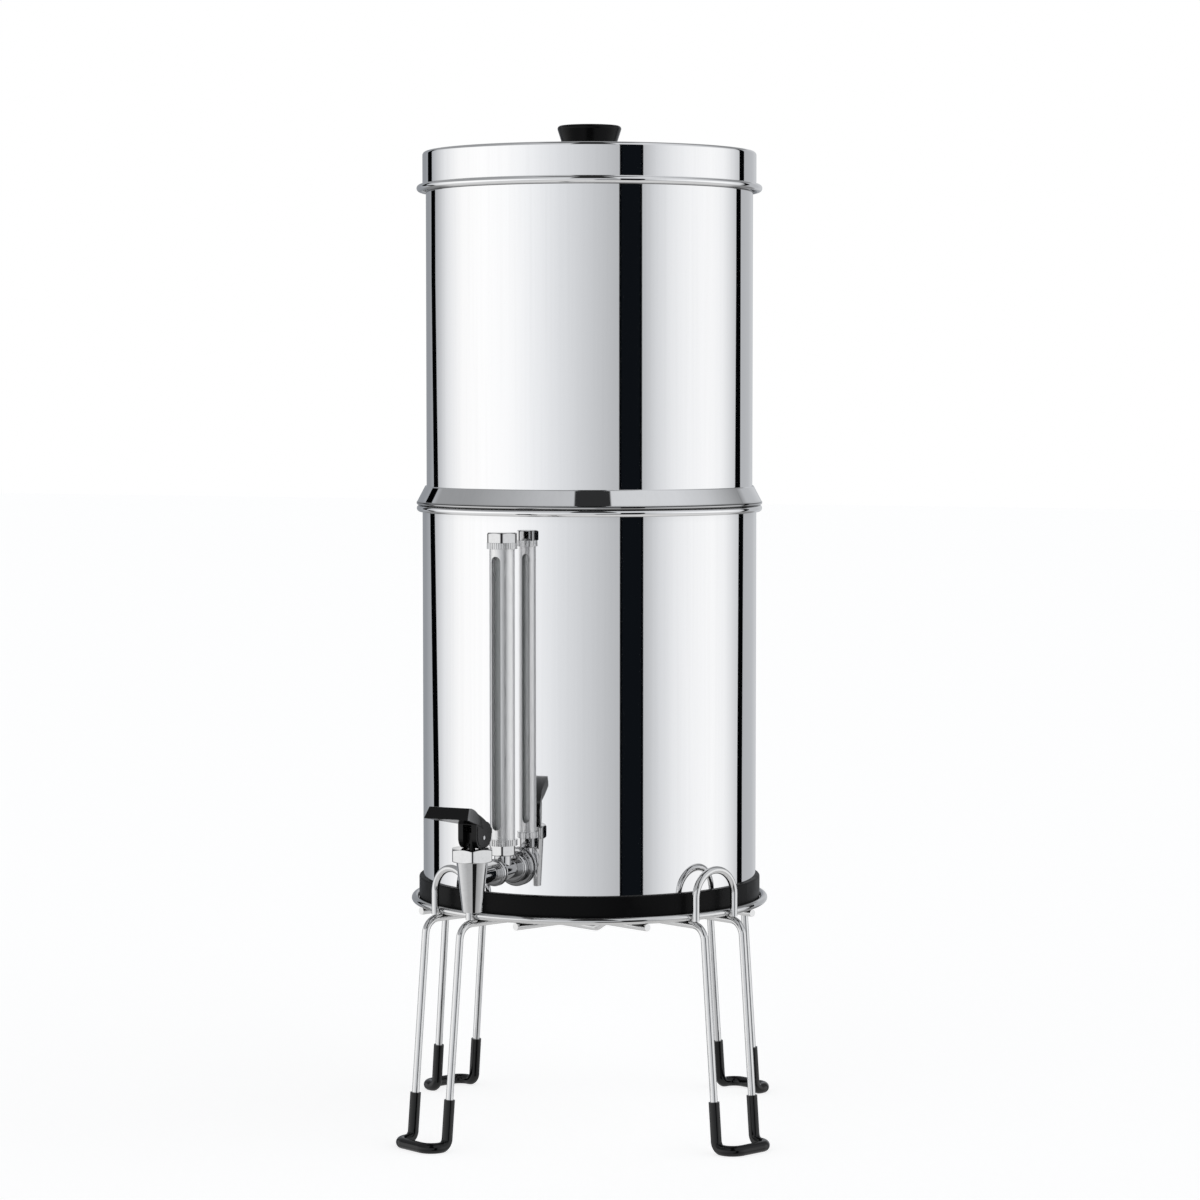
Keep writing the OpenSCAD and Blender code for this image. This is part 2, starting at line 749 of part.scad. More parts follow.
module valve_seal() {
  color("snow") about(spout_y, cup_z) difference() {
    cylinder(h = cup_h, r = cup_r);
    translate([0, 0, cup_h / 2]) cylinder(h = cup_h, r = valve_r + fit);
  }
}

module valve_stem() {
  color("silver") {
    difference() {
      union() {
        about(spout_y, cup_z + cup_h / 2 + fit) cylinder(h = pin_z - cup_z - cup_h / 2 - fit, r = valve_r);
        about(spout_y, thrust_z) cylinder(h = thrust_t, r = spring_r);
        translate([-head_w / 2, -pin_y, pin_z]) rotate([0, 90, 0]) cylinder(h = head_w, r = head_r);
        translate([-head_w / 2, -spout_y - valve_r, pin_z - head_r])
          cube([head_w, pin_back + valve_r, 2 * head_r]);
      }
      translate([-head_w, -pin_y, pin_z]) rotate([0, 90, 0])
        cylinder(h = 2 * head_w, r = pin_r + pin_clear);
    }
  }
}

// side outline of the lever: forward from the pin, then up
module lever_side() {
  back = [-cheek_rear, back_top_h];
  front = [paddle_fwd - paddle_lean, paddle_top_h];
  chord = norm(front - back);
  bulge_r = (chord * chord / 4 + paddle_bulge * paddle_bulge) / (2 * paddle_bulge);
  mid = (front + back) / 2;
  along = (front - back) / chord;
  hub = [mid[0] + along[1] * (bulge_r - paddle_bulge), mid[1] - along[0] * (bulge_r - paddle_bulge)];
  low = [paddle_fwd, paddle_low_h];
  over = front + (front - low) / 2;
  high = 2 * paddle_top_h;
  intersection() {
    translate(hub) circle(r = bulge_r);
    polygon([[-cheek_rear, back_top_h - rear_t], [-cheek_rear, high], [over[0], high], over, low,
             [taper_fwd, under_h]]);
  }
}

module cheek_side(edge = 0) {
  rear_hub = [cheek_rear_r - cheek_rear, cam_up - cam_r + cheek_rear_r];
  translate([cam_fwd, cam_up]) circle(r = cam_r - edge);
  translate(rear_hub) circle(r = cheek_rear_r - edge);
  polygon(concat([[cam_fwd, cam_up - cam_r + edge], [cam_fwd, cam_up], [cam_front - edge, cam_up],
                  [cam_front - edge, under_front - edge]],
                 edge > 0 ? [] : [[taper_fwd, under_h + rear_t / 2]],
                 [[edge - cheek_rear, back_top_h - edge], [edge - cheek_rear, rear_hub[1]],
                  [rear_hub[0], cam_up - cam_r + edge]]));
}

// stands an outline drawn forward and up on the lever's pin
module lever_plate(w) {
  translate([w / 2, -pin_y, pin_z]) rotate([90, 0, -90]) linear_extrude(height = w) children();
}

module tap_lever() {
  color("black") difference() {
    union() {
      intersection() {
        lever_plate(2 * paddle_half) lever_side();
        translate([0, -pin_y, 0]) linear_extrude(height = pin_z + 2 * paddle_top_h)
          polygon([[-lever_half, cheek_rear + cut], [lever_half, cheek_rear + cut], [lever_half, -taper_fwd],
                   [paddle_half, -paddle_fwd], [paddle_half, -paddle_fwd - cut],
                   [-paddle_half, -paddle_fwd - cut], [-paddle_half, -paddle_fwd], [-lever_half, -taper_fwd]]);
      }
      difference() {
        union() {
          lever_plate(2 * lever_half - 2 * panel_t) cheek_side();
          lever_plate(2 * lever_half) cheek_side(panel_edge);
        }
        lever_plate(cheek_gap) polygon([[-2 * cheek_rear, -2 * paddle_top_h], [paddle_fwd, -2 * paddle_top_h],
          [paddle_fwd, under_h], [taper_fwd, under_h], [-cheek_rear, back_top_h - rear_t],
          [-2 * cheek_rear, back_top_h - rear_t]]);
      }
    }
    translate([-2 * lever_half, -pin_y, pin_z]) rotate([0, 90, 0])
      cylinder(h = 4 * lever_half, r = pin_r + fit / 2);
  }
}

module lever_pin() {
  color("silver") translate([-lever_half - pin_proud, -pin_y, pin_z]) rotate([0, 90, 0])
    cylinder(h = 2 * (lever_half + pin_proud), r = pin_r);
}

module gauge_base() {
  color("silver") about(gauge_y, union_z) difference() {
    union() {
      rotate([0, 0, slot_turn]) hex_nut(union_af, union_h, bonnet_cham, 0);
      translate([0, 0, union_h - cut]) cylinder(h = knurl_h + socket_l + cut, r = socket_r);
    }
    translate([0, 0, -cut]) cylinder(h = boss_neck_l + fit + cut, r = boss_neck_r + fit);
    cylinder(h = union_h + cut, r = gauge_way_r);
    translate([0, 0, union_h + fit]) cylinder(h = knurl_h + socket_l + cut, r = pocket_r);
  }
}

module gauge_ring_lower() {
  color("silver") about(gauge_y, knurl_z) toothed_ring(knurl_h, knurl_r, knurl_t, socket_r + fit);
}

module gauge_ring_upper() {
  color("silver") about(gauge_y, guard_top) toothed_ring(knurl_h, knurl_r, knurl_t, socket_r + fit);
}

module gauge_guard_tube() {
  color("silver") about(gauge_y, guard_z) difference() {
    tube(guard_l, guard_r, guard_r - guard_t);
    rotate([0, 0, slot_turn]) {
      translate([-slot_w / 2, -2 * guard_r, slot_low + slot_w / 2])
        cube([slot_w, 4 * guard_r, guard_l - slot_low - slot_high - slot_w]);
      for (z = [slot_low + slot_w / 2, guard_l - slot_high - slot_w / 2])
        translate([0, 2 * guard_r, z]) rotate([90, 0, 0]) cylinder(h = 4 * guard_r, r = slot_w / 2);
    }
  }
}

module gauge_glass_tube() {
  color("azure") about(gauge_y, knurl_z + 2 * fit)
    tube(cap_z - knurl_z - 4 * fit, glass_r, glass_r - glass_t);
}

module gauge_seal() {
  color("dimgray") tube(gauge_seal_h, pocket_r - fit / 2, glass_r + fit / 2);
}

module gauge_seal_lower() {
  about(gauge_y, guard_z) gauge_seal();
}

module gauge_seal_upper() {
  about(gauge_y, guard_top - gauge_seal_h) gauge_seal();
}

module gauge_cap() {
  color("silver") about(gauge_y, cap_z) difference() {
    union() {
      rotate([0, 0, slot_turn]) hex_nut(cap_af, cap_h, 0, bonnet_cham);
      translate([0, 0, -knurl_h - socket_l]) cylinder(h = knurl_h + socket_l + cut, r = socket_r);
    }
    translate([0, 0, -knurl_h - socket_l - cut]) cylinder(h = knurl_h + socket_l + cut - fit, r = pocket_r);
  }
}

module upper_vessel() {
  color("gainsboro") difference() {
    rotate_extrude() difference() {
      union() {
        difference() {
          pot_outline(up_r, up_z, up_curl_z, corner_r);
          pot_outline(up_r - sheet_t, up_z + sheet_t, up_curl_z + cut, corner_r - sheet_t);
        }
        translate([up_r - up_curl_r, up_curl_z]) circle(r = up_curl_r);
      }
      translate([up_r - up_curl_r, up_curl_z]) circle(r = up_curl_r - sheet_t);
      translate([up_r - up_curl_r, up_curl_z - up_curl_r - cut]) square([up_curl_r - sheet_t, up_curl_r + cut]);
    }
    for (x = [-element_x, element_x]) translate([x, 0, up_z - cut])
      cylinder(h = sheet_t + 2 * cut, r = stem_r + hole_clear);
  }
}

// outline of the skirt's outside, moved in by t
module skirt_outline(t) {
  low = skirt_z + t;
  wide = skirt_r - t;
  edge = skirt_edge_r - t;
  polygon([[up_r + fit, low], [wide - edge, low], [wide, low + edge], [wide, low_top + skirt_low_h],
           [up_r + fit, low_top + skirt_h - t * (1 + tooth_share)]]);
  translate([wide - edge, low + edge]) circle(r = edge);
}

module locating_skirt() {
  color("gainsboro") rotate_extrude() difference() {
    skirt_outline(0);
    skirt_outline(sheet_t);
  }
}

module filter_block(side) {
  color("white") translate([side * element_x, 0, up_z + sheet_t + seal_t + element_base_h])
    tube(element_l, element_r, element_bore_r);
}

module filter_cap(side) {
  color("dimgray") translate([side * element_x, 0, up_z + sheet_t + seal_t + element_base_h + element_l])
    difference() {
      translate([0, 0, -element_cap_h / 3]) cylinder(h = element_cap_h, r = element_cap_r);
      translate([0, 0, -element_cap_h]) cylinder(h = element_cap_h + fit / 2, r = element_r + fit);
    }
}

module filter_base(side) {
  color("dimgray") translate([side * element_x, 0, up_z + sheet_t + seal_t]) difference() {
    union() {
      cylinder(h = element_base_h + element_cap_h / 3, r = element_cap_r);
      translate([0, 0, -seal_t - sheet_t - stem_l]) cylinder(h = seal_t + sheet_t + stem_l + cut, r = stem_r);
    }
    translate([0, 0, element_base_h - fit / 2]) cylinder(h = element_cap_h, r = element_r + fit);
    translate([0, 0, -seal_t - sheet_t - stem_l - cut])
      cylinder(h = seal_t + sheet_t + stem_l + element_base_h + 2 * cut, r = stem_bore_r);
  }
}

module filter_seal(side) {
  color("gray") translate([side * element_x, 0, up_z + sheet_t + fit / 2])
    tube(seal_t - fit, seal_r, stem_r + fit);
}

module wing_nut(side) {
  color("dimgray") translate([side * element_x, 0, up_z - fit]) difference() {
    union() {
      translate([0, 0, -wing_hub_h]) cylinder(h = wing_hub_h, r = wing_hub_r);
      both_sides() translate([0, -wing_t / 2, 0]) rotate([-90, 0, 0]) linear_extrude(height = wing_t) {
        polygon([[0, cut], [wing_reach - wing_h / 4, wing_hub_h / 2], [wing_reach - wing_h / 4, wing_h],
                 [0, wing_hub_h]]);
        translate([wing_reach - wing_h / 3, wing_h * (2 / 3)]) circle(r = wing_h / 3);
      }
    }
    translate([0, 0, -2 * wing_hub_h]) cylinder(h = 3 * wing_hub_h, r = stem_r + fit);
  }
}

module lid() {
  color("gainsboro") difference() {
    rotate_extrude() {
      difference() {
        union() {
          translate([0, lid_top]) mirror([0, 1]) difference() {
            pot_outline(lid_r, 0, bead_drop, lid_corner_r);
            pot_outline(lid_r - sheet_t, sheet_t, bead_drop + cut, lid_corner_r - sheet_t);
          }
          translate([bead_x, bead_z]) circle(r = bead_r);
          difference() {
            translate([lid_r - sheet_t / 2, bead_z]) square([bead_fillet_r + sheet_t / 2, fillet_z - bead_z]);
            translate([fillet_x, fillet_z]) circle(r = bead_fillet_r);
          }
        }
        translate([bead_x, bead_z]) circle(r = bead_r - sheet_t);
        translate([lid_r - 2 * sheet_t, bead_z - 2 * sheet_t]) square([2 * sheet_t + sheet_t / 2, sheet_t]);
        translate([0, lid_top - 2 * sheet_t]) square([dome_foot_r, 4 * sheet_t]);
      }
      intersection() {
        difference() {
          translate([0, dome_z - dome_r]) circle(r = dome_r, $fn = 4 * fine);
          translate([0, dome_z - dome_r]) circle(r = dome_r - sheet_t, $fn = 4 * fine);
        }
        translate([0, lid_top - 2 * sheet_t]) square([dome_foot_r, dome_h + 4 * sheet_t]);
      }
    }
    translate([0, 0, lid_top - cut]) cylinder(h = dome_h + 3 * cut, r = knob_screw_d / 2 + hole_clear);
  }
}

module lid_knob() {
  low = [knob_foot_r, knob_z];
  hub = [knob_r - knob_edge_r, knob_top - knob_edge_r];
  span = norm(hub - low);
  lean = atan2(hub[1] - low[1], hub[0] - low[0]) - asin(knob_edge_r / span);
  side = sqrt(span * span - knob_edge_r * knob_edge_r);
  touch = [low[0] + side * cos(lean), low[1] + side * sin(lean)];
  color("black") difference() {
    rotate_extrude() {
      polygon([[0, low[1]], low, touch, hub, [hub[0], knob_top], [0, knob_top]]);
      translate(hub) circle(r = knob_edge_r);
    }
    translate([0, 0, knob_z - cut]) cylinder(h = knob_screw_l + cut, r = knob_screw_d / 2 + fit);
  }
}

module knob_screw() {
  color("silver") translate([0, 0, washer_z - fit]) {
    cylinder(h = knob_screw_l, d = knob_screw_d);
    translate([0, 0, -knob_head_h]) cylinder(h = knob_head_h, d = knob_head_d);
  }
}

module knob_washer() {
  color("silver") translate([0, 0, washer_z]) tube(knob_washer_t, knob_washer_d / 2, knob_screw_d / 2 + fit);
}

stand_hoop();
leg_loop_upper();
leg_loop_lower();
deck_wire_upper(1);  // deck_wire_upper_a
deck_wire_upper(-1);  // deck_wire_upper_b
deck_wire_lower(1);  // deck_wire_lower_a
deck_wire_lower(-1);  // deck_wire_lower_b
arch(0);  // arch_a
arch(90);  // arch_b
arch(180);  // arch_c
arch(270);  // arch_d
foot_sleeve(0);  // foot_sleeve_a
foot_sleeve(90);  // foot_sleeve_b
foot_sleeve(180);  // foot_sleeve_c
foot_sleeve(270);  // foot_sleeve_d
lower_vessel();
base_ring();
tap_inner_nut();
tap_inner_gasket();
tap_outer_gasket();
tap_flange();
tap_ring_nut();
tap_tee();
tap_coupling_ring();
spout_body();
bonnet();
valve_spring();
gauge_base();
gauge_ring_lower();
gauge_guard_tube();
gauge_glass_tube();
gauge_seal_lower();
gauge_seal_upper();
gauge_ring_upper();
gauge_cap();
valve_stem();
valve_seal();
tap_lever();
lever_pin();
upper_vessel();
locating_skirt();
filter_block(-1);  // filter_block_left
filter_block(1);  // filter_block_right
filter_cap(-1);  // filter_cap_left
filter_cap(1);  // filter_cap_right
filter_base(-1);  // filter_base_left
filter_base(1);  // filter_base_right
filter_seal(-1);  // filter_seal_left
filter_seal(1);  // filter_seal_right
wing_nut(-1);  // wing_nut_left
wing_nut(1);  // wing_nut_right
lid();
lid_knob();
knob_screw();
knob_washer();
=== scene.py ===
import json
import math

import bmesh
import bpy
import numpy as np
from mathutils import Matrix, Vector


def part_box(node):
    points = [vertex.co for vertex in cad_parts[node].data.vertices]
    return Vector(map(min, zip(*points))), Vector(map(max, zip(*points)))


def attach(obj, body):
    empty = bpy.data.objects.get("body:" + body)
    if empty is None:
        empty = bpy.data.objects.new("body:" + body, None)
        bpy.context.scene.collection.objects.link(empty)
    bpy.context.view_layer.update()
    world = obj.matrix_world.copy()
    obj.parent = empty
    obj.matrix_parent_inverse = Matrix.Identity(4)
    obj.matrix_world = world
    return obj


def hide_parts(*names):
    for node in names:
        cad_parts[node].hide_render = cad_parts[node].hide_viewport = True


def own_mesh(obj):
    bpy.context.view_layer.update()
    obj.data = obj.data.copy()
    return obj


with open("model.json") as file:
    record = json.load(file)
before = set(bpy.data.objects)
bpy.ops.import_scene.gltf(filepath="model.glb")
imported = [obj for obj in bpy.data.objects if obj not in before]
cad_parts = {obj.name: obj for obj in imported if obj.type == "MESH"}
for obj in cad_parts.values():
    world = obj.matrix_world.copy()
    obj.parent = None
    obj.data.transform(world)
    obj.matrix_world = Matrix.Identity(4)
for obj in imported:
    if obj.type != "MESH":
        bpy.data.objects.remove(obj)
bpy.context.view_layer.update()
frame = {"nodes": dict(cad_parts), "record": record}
nodes = frame["nodes"]
print("frame loaded:", len(nodes), "nodes")


# camera: the photograph's viewpoint
cameraSet = {
    "azimuth": 24.6,      # degrees from the tap's side towards +X
    "distance": 2.378,    # from the vessels' axis, level
    "height": 0.4866,
    "pitch": 3.363,       # degrees down
    "yaw": 0.168,         # degrees to the right
    "lens": 107.74, "sensor": 36,
    "near": 0.05, "far": 60,
}


def addCamera(s):
    data = bpy.data.cameras.new("photoCamera")
    data.sensor_width = s["sensor"]
    data.lens = s["lens"]
    data.clip_start = s["near"]
    data.clip_end = s["far"]
    cam = bpy.data.objects.new("photoCamera", data)
    a = math.radians(s["azimuth"])
    cam.location = (s["distance"] * math.sin(a), -s["distance"] * math.cos(a), s["height"])
    cam.rotation_euler = (math.radians(90 - s["pitch"]), 0, a - math.radians(s["yaw"]))
    bpy.context.scene.collection.objects.link(cam)
    bpy.context.scene.camera = cam


addCamera(cameraSet)
bpy.context.scene.view_settings.view_transform = "Standard"


# small helpers for node trees
class Tree:
    def __init__(self, tree):
        self.tree = tree
        self.nodes = tree.nodes
        self.links = tree.links

    def add(self, kind, **values):
        node = self.nodes.new(kind)
        for k, v in values.items():
            setattr(node, k, v)
        return node

    def put(self, socket, value):
        if isinstance(value, bpy.types.NodeSocket):
            self.links.new(value, socket)
        elif value is not None:
            socket.default_value = value

    def math(self, operation, a, b=None, c=None, clamp=False):
        node = self.add("ShaderNodeMath", operation=operation, use_clamp=clamp)
        for i, v in enumerate((a, b, c)):
            self.put(node.inputs[i], v)
        return node.outputs[0]

    def ramp(self, fac, stops):
        node = self.add("ShaderNodeValToRGB")
        e = node.color_ramp.elements
        while len(e) > 1:
            e.remove(e[0])
        e[0].position, e[0].color = stops[0]
        for pos, col in stops[1:]:
            e.new(pos).color = col
        self.put(node.inputs[0], fac)
        return node.outputs[0]

    def mixColor(self, fac, a, b, blend="MIX"):
        node = self.add("ShaderNodeMix", data_type="RGBA", blend_type=blend)
        self.put(node.inputs[0], fac)
        self.put(node.inputs[6], a)
        self.put(node.inputs[7], b)
        return node.outputs[2]

    def range(self, value, a0, a1, b0=0.0, b1=1.0):
        node = self.add("ShaderNodeMapRange", interpolation_type="SMOOTHSTEP")
        for i, v in enumerate((value, a0, a1, b0, b1)):
            self.put(node.inputs[i], v)
        return node.outputs[0]


def linear(v):
    # a display value from 0 to 255 as light
    v = v / 255
    return v / 12.92 if v < 0.04045 else ((v + 0.055) / 1.055) ** 2.4


greenShare = 0.6  # a cool tint takes this much as much green away as red


def grey(v, tint=0.0):
    w = linear(v)
    return (w * (1 - tint), w * (1 - tint * greenShare), w, 1)


def wayRound(angle):
    # degrees from the camera's side as a share of the whole turn
    return (angle + 180) / 360


# the studio round the part: white sheets that fall off to grey, and dark flags between them;
# angles are degrees from the camera's side, values are display values, heights run from -1 to 1
studioSet = {
    "facing": 24.6,  # degrees, the side that looks at the camera
    # angle, value, tint
    "sheets": [(-180, 150, 0.11), (-155, 148, 0.11), (-139, 172, 0.09), (-130, 197, 0.05),
               (-118, 229, 0.03), (-100, 249, 0), (-80, 253, 0), (-58, 250, 0.01), (-40, 240, 0.03),
               (-20, 223, 0.045), (0, 204, 0.05), (18, 186, 0.05), (38, 188, 0.05),
               (47, 214, 0.045), (59, 232, 0.03), (72, 242, 0.02), (92, 248, 0.01),
               (106, 241, 0.02), (120, 211, 0.04), (131, 178, 0.06), (150, 185, 0.06),
               (165, 200, 0.05), (180, 170, 0.09)],
    # middle, half width, value, lean in degrees for each unit of height
    "flags": [(28.7, 8.2, 7, 0), (28.7, 6.6, 20, 0), (-137.7, 4.7, 3, -80), (128.2, 3.9, 4, 18)],
    "flagEdge": 0.25, "flagTint": 0.42,
    "leanFrom": -0.11, "leanTo": 0.03, "leanMiddle": -0.04,
    "gain": 1.12,
    "ceiling": [(-180, 150), (-120, 150), (-100, 152), (-82, 163), (-67, 170), (-42, 184),
                (-13.6, 190), (-13.4, 46), (18.4, 46), (18.6, 206), (44, 209), (75, 212),
                (100, 197), (117, 171), (129, 148), (142, 124), (152, 140), (180, 150)],
    "ceilingTint": 0.045, "ceilingFrom": 0.30, "ceilingTo": 0.37,
    "overhead": 35, "overheadFrom": 0.94, "overheadTo": 0.965,
    "low": [(-180, 130), (-136, 130), (-122, 200), (-90, 220), (-60, 203), (-38, 186), (3, 184),
            (5, 25), (35, 25), (37, 155), (60, 182), (100, 200), (124, 195), (134, 130),
            (180, 130)],
    "lowTint": 0.02, "lowFrom": -0.24, "lowTo": -0.32,
    "table": 205, "tableFrom": -0.48, "tableTo": -0.62,
}


def addStudio(s):
    world = bpy.data.worlds.new("studio")
    bpy.context.scene.world = world
    world.use_nodes = True
    t = Tree(world.node_tree)
    t.nodes.clear()
    way = t.add("ShaderNodeSeparateXYZ")
    t.put(way.inputs[0], t.add("ShaderNodeTexCoord").outputs["Generated"])
    height = way.outputs[2]
    turn = t.math("ARCTAN2", way.outputs[0], t.math("MULTIPLY", way.outputs[1], -1.0))
    # the added whole turn keeps the sum above zero
    whole = t.math("ADD", t.math("DIVIDE", turn, 2 * math.pi), 0.5 - s["facing"] / 360 + 1)
    share = t.math("FRACT", whole)
    colour = t.ramp(share, [(wayRound(a), grey(v, tint)) for a, v, tint in s["sheets"]])
    level = t.math("MAXIMUM", t.math("MINIMUM", height, s["leanTo"]), s["leanFrom"])
    for middle, half, value, lean in s["flags"]:
        place = t.math("MULTIPLY_ADD", t.math("ADD", level, -s["leanMiddle"]), lean / 360,
                       wayRound(middle))
        off = t.math("ABSOLUTE", t.math("SUBTRACT", share, place))
        cover = t.range(off, (half + s["flagEdge"]) / 360, (half - s["flagEdge"]) / 360)
        colour = t.mixColor(cover, colour, grey(value, s["flagTint"]))
    up = t.range(height, s["ceilingFrom"], s["ceilingTo"])
    ceiling = t.ramp(share, [(wayRound(a), grey(v, s["ceilingTint"])) for a, v in s["ceiling"]])
    colour = t.mixColor(up, colour, ceiling)
    top = t.range(height, s["overheadFrom"], s["overheadTo"])
    colour = t.mixColor(top, colour, grey(s["overhead"]))
    low = t.ramp(share, [(wayRound(a), grey(v, s["lowTint"])) for a, v in s["low"]])
    colour = t.mixColor(t.range(height, s["lowFrom"], s["lowTo"]), colour, low)
    down = t.range(height, s["tableFrom"], s["tableTo"])
    colour = t.mixColor(down, colour, grey(s["table"]))
    studio = t.add("ShaderNodeBackground")
    t.put(studio.inputs[0], colour)
    studio.inputs[1].default_value = s["gain"]
    plain = t.add("ShaderNodeBackground")
    plain.inputs[0].default_value = (1, 1, 1, 1)
    path = t.add("ShaderNodeLightPath")
    seen = t.math("MAXIMUM", path.outputs["Is Camera Ray"], path.outputs["Is Transmission Ray"])
    mix = t.add("ShaderNodeMixShader")
    t.put(mix.inputs[0], seen)
    t.put(mix.inputs[1], studio.outputs[0])
    t.put(mix.inputs[2], plain.outputs[0])
    t.put(t.add("ShaderNodeOutputWorld").inputs[0], mix.outputs[0])


addStudio(studioSet)
print("studio ready")


# white paper under the part, which the steel doesn't mirror
floorSet = {"half": 12.0, "drop": 0.0002, "paper": 0.5, "glow": 0.78}


def addFloor(s):
    h, z = s["half"], -s["drop"]
    mesh = bpy.data.meshes.new("floor")
    mesh.from_pydata([(-h, -h, z), (h, -h, z), (h, h, z), (-h, h, z)], [], [(0, 1, 2, 3)])
    floor = bpy.data.objects.new("floor", mesh)
    bpy.context.scene.collection.objects.link(floor)
    mat = bpy.data.materials.new("palePaper")
    mat.use_nodes = True
    t = Tree(mat.node_tree)
    t.nodes.clear()
    paper = t.add("ShaderNodeBsdfDiffuse")
    paper.inputs[0].default_value = (s["paper"],) * 3 + (1,)
    glow = t.add("ShaderNodeEmission")
    glow.inputs[0].default_value = (1, 1, 1, 1)
    seen = t.add("ShaderNodeLightPath").outputs["Is Camera Ray"]
    t.put(glow.inputs[1], t.math("MULTIPLY", seen, s["glow"]))
    both = t.add("ShaderNodeAddShader")
    t.put(both.inputs[0], paper.outputs[0])
    t.put(both.inputs[1], glow.outputs[0])
    t.put(t.add("ShaderNodeOutputMaterial").inputs[0], both.outputs[0])
    mesh.materials.append(mat)
    floor.visible_glossy = False


addFloor(floorSet)


# finishes: two shared effects as node groups, and one material for each of the record's slots
vector, colourKind, number = "NodeSocketVector", "NodeSocketColor", "NodeSocketFloat"
effectOutputs = [("Colour", colourKind), ("Rough", number), ("Height", number)]


def group(name, inputs):
    tree = bpy.data.node_groups.new(name, "ShaderNodeTree")
    for label, kind, value in inputs:
        s = tree.interface.new_socket(label, in_out="INPUT", socket_type=kind)
        if value is not None:
            s.default_value = value
    for label, kind in effectOutputs:
        tree.interface.new_socket(label, in_out="OUTPUT", socket_type=kind)
    t = Tree(tree)
    return t, t.add("NodeGroupInput"), t.add("NodeGroupOutput")


metalSet = {
    "lineDetail": 3, "cloudScale": 40, "cloudDetail": 4,
    "roughGain": 4.0,                    # how far lines and wear move the roughness
    "worn": (0.5, 0.5, 0.5, 1),          # times the colour
    # painted shade: the near-black colour that crevice shade and dark reflection lines take
    "crevice": (0.02, 0.02, 0.021, 1),   # colour where Edge is 1
}


def addDrawnMetal(s):
    # fine lines along one direction, as drawing and polishing leave them, faint cloudy wear, and
    # painted shade, near black, where the last input is 1
    t, i, o = group("drawnMetal", [
        ("Place", vector, None), ("Colour", colourKind, (0.8, 0.8, 0.8, 1)),
        ("Fineness", number, 900.0), ("Lines", number, 0.1), ("Cloud", number, 0.05),
        ("Rough", number, 0.1), ("Edge", number, 0.0)])
    lines = t.add("ShaderNodeTexNoise", noise_dimensions="3D")
    t.put(lines.inputs["Vector"], i.outputs["Place"])
    t.put(lines.inputs["Scale"], i.outputs["Fineness"])
    lines.inputs["Detail"].default_value = s["lineDetail"]
    cloud = t.add("ShaderNodeTexNoise", noise_dimensions="3D")
    t.put(cloud.inputs["Vector"], i.outputs["Place"])
    cloud.inputs["Scale"].default_value = s["cloudScale"]
    cloud.inputs["Detail"].default_value = s["cloudDetail"]
    line = t.math("SUBTRACT", lines.outputs[0], 0.5)
    blot = t.math("SUBTRACT", cloud.outputs[0], 0.5)
    part = t.math("MULTIPLY", line, i.outputs["Lines"])
    wear = t.math("MULTIPLY", blot, i.outputs["Cloud"])
    both = t.math("ADD", part, wear)
    change = t.math("ADD", 1.0, t.math("MULTIPLY", both, s["roughGain"]))
    t.put(o.inputs["Rough"], t.math("MULTIPLY", i.outputs["Rough"], change, clamp=True))
    dull = t.mixColor(1.0, i.outputs["Colour"], s["worn"], "MULTIPLY")
    worn = t.mixColor(t.math("ABSOLUTE", both, clamp=True), i.outputs["Colour"], dull)
    # painted shade: where the last input is 1 the colour turns near black
    t.put(o.inputs["Colour"], t.mixColor(i.outputs["Edge"], worn, s["crevice"]))
    t.put(o.inputs["Height"], line)
    return t.tree


skinSet = {
    "blotchScale": 55, "blotchDetail": 5, "blotchFrom": 0.42, "blotchTo": 0.75,
    "dust": (0.006, 0.006, 0.0062, 1),   # added to the colour
    "roughLeast": 0.92, "roughGain": 0.9,
}


def addMouldedSkin(s):
    # fine pebbled skin of moulded rubber and plastic, with dust-pale blotches
    t, i, o = group("mouldedSkin", [
        ("Place", vector, None), ("Colour", colourKind, (0.02, 0.02, 0.02, 1)),
        ("Grain", number, 1500.0), ("Blotch", number, 0.3), ("Rough", number, 0.3)])
    pebble = t.add("ShaderNodeTexVoronoi", feature="SMOOTH_F1")
    t.put(pebble.inputs["Vector"], i.outputs["Place"])
    t.put(pebble.inputs["Scale"], i.outputs["Grain"])
    blotch = t.add("ShaderNodeTexNoise")
    t.put(blotch.inputs["Vector"], i.outputs["Place"])
    blotch.inputs["Scale"].default_value = s["blotchScale"]
    blotch.inputs["Detail"].default_value = s["blotchDetail"]
    spots = t.range(blotch.outputs[0], s["blotchFrom"], s["blotchTo"])
    pale = t.math("MULTIPLY", spots, i.outputs["Blotch"])
    light = t.mixColor(1.0, i.outputs["Colour"], s["dust"], "ADD")
    t.put(o.inputs["Colour"], t.mixColor(pale, i.outputs["Colour"], light))
    change = t.math("ADD", s["roughLeast"], t.math("MULTIPLY", pale, s["roughGain"]))
    t.put(o.inputs["Rough"], t.math("MULTIPLY", i.outputs["Rough"], change))
    t.put(o.inputs["Height"], pebble.outputs[0])
    return t.tree


drawnMetal = addDrawnMetal(metalSet)
mouldedSkin = addMouldedSkin(skinSet)

# tapSteel and mirrorSteel get painted shade where a mesh's edge attribute says
shadePaintedSteels = ("tapSteel", "mirrorSteel")     # these darken where a mesh's edge attribute says
smoothSteels = ("mirrorSteel", "guardSteel")  # these have no bump
lineBump, lineRelief = 0.02, 0.00002
skinBump, skinRelief = 0.08, 0.00005
# painted shade on the underside of the tap's arm: none at the upper height, most at the lower
undersideShadeSet = {"from": 0.1830, "to": 0.1765, "most": 0.8}  # heights of the tap's arm


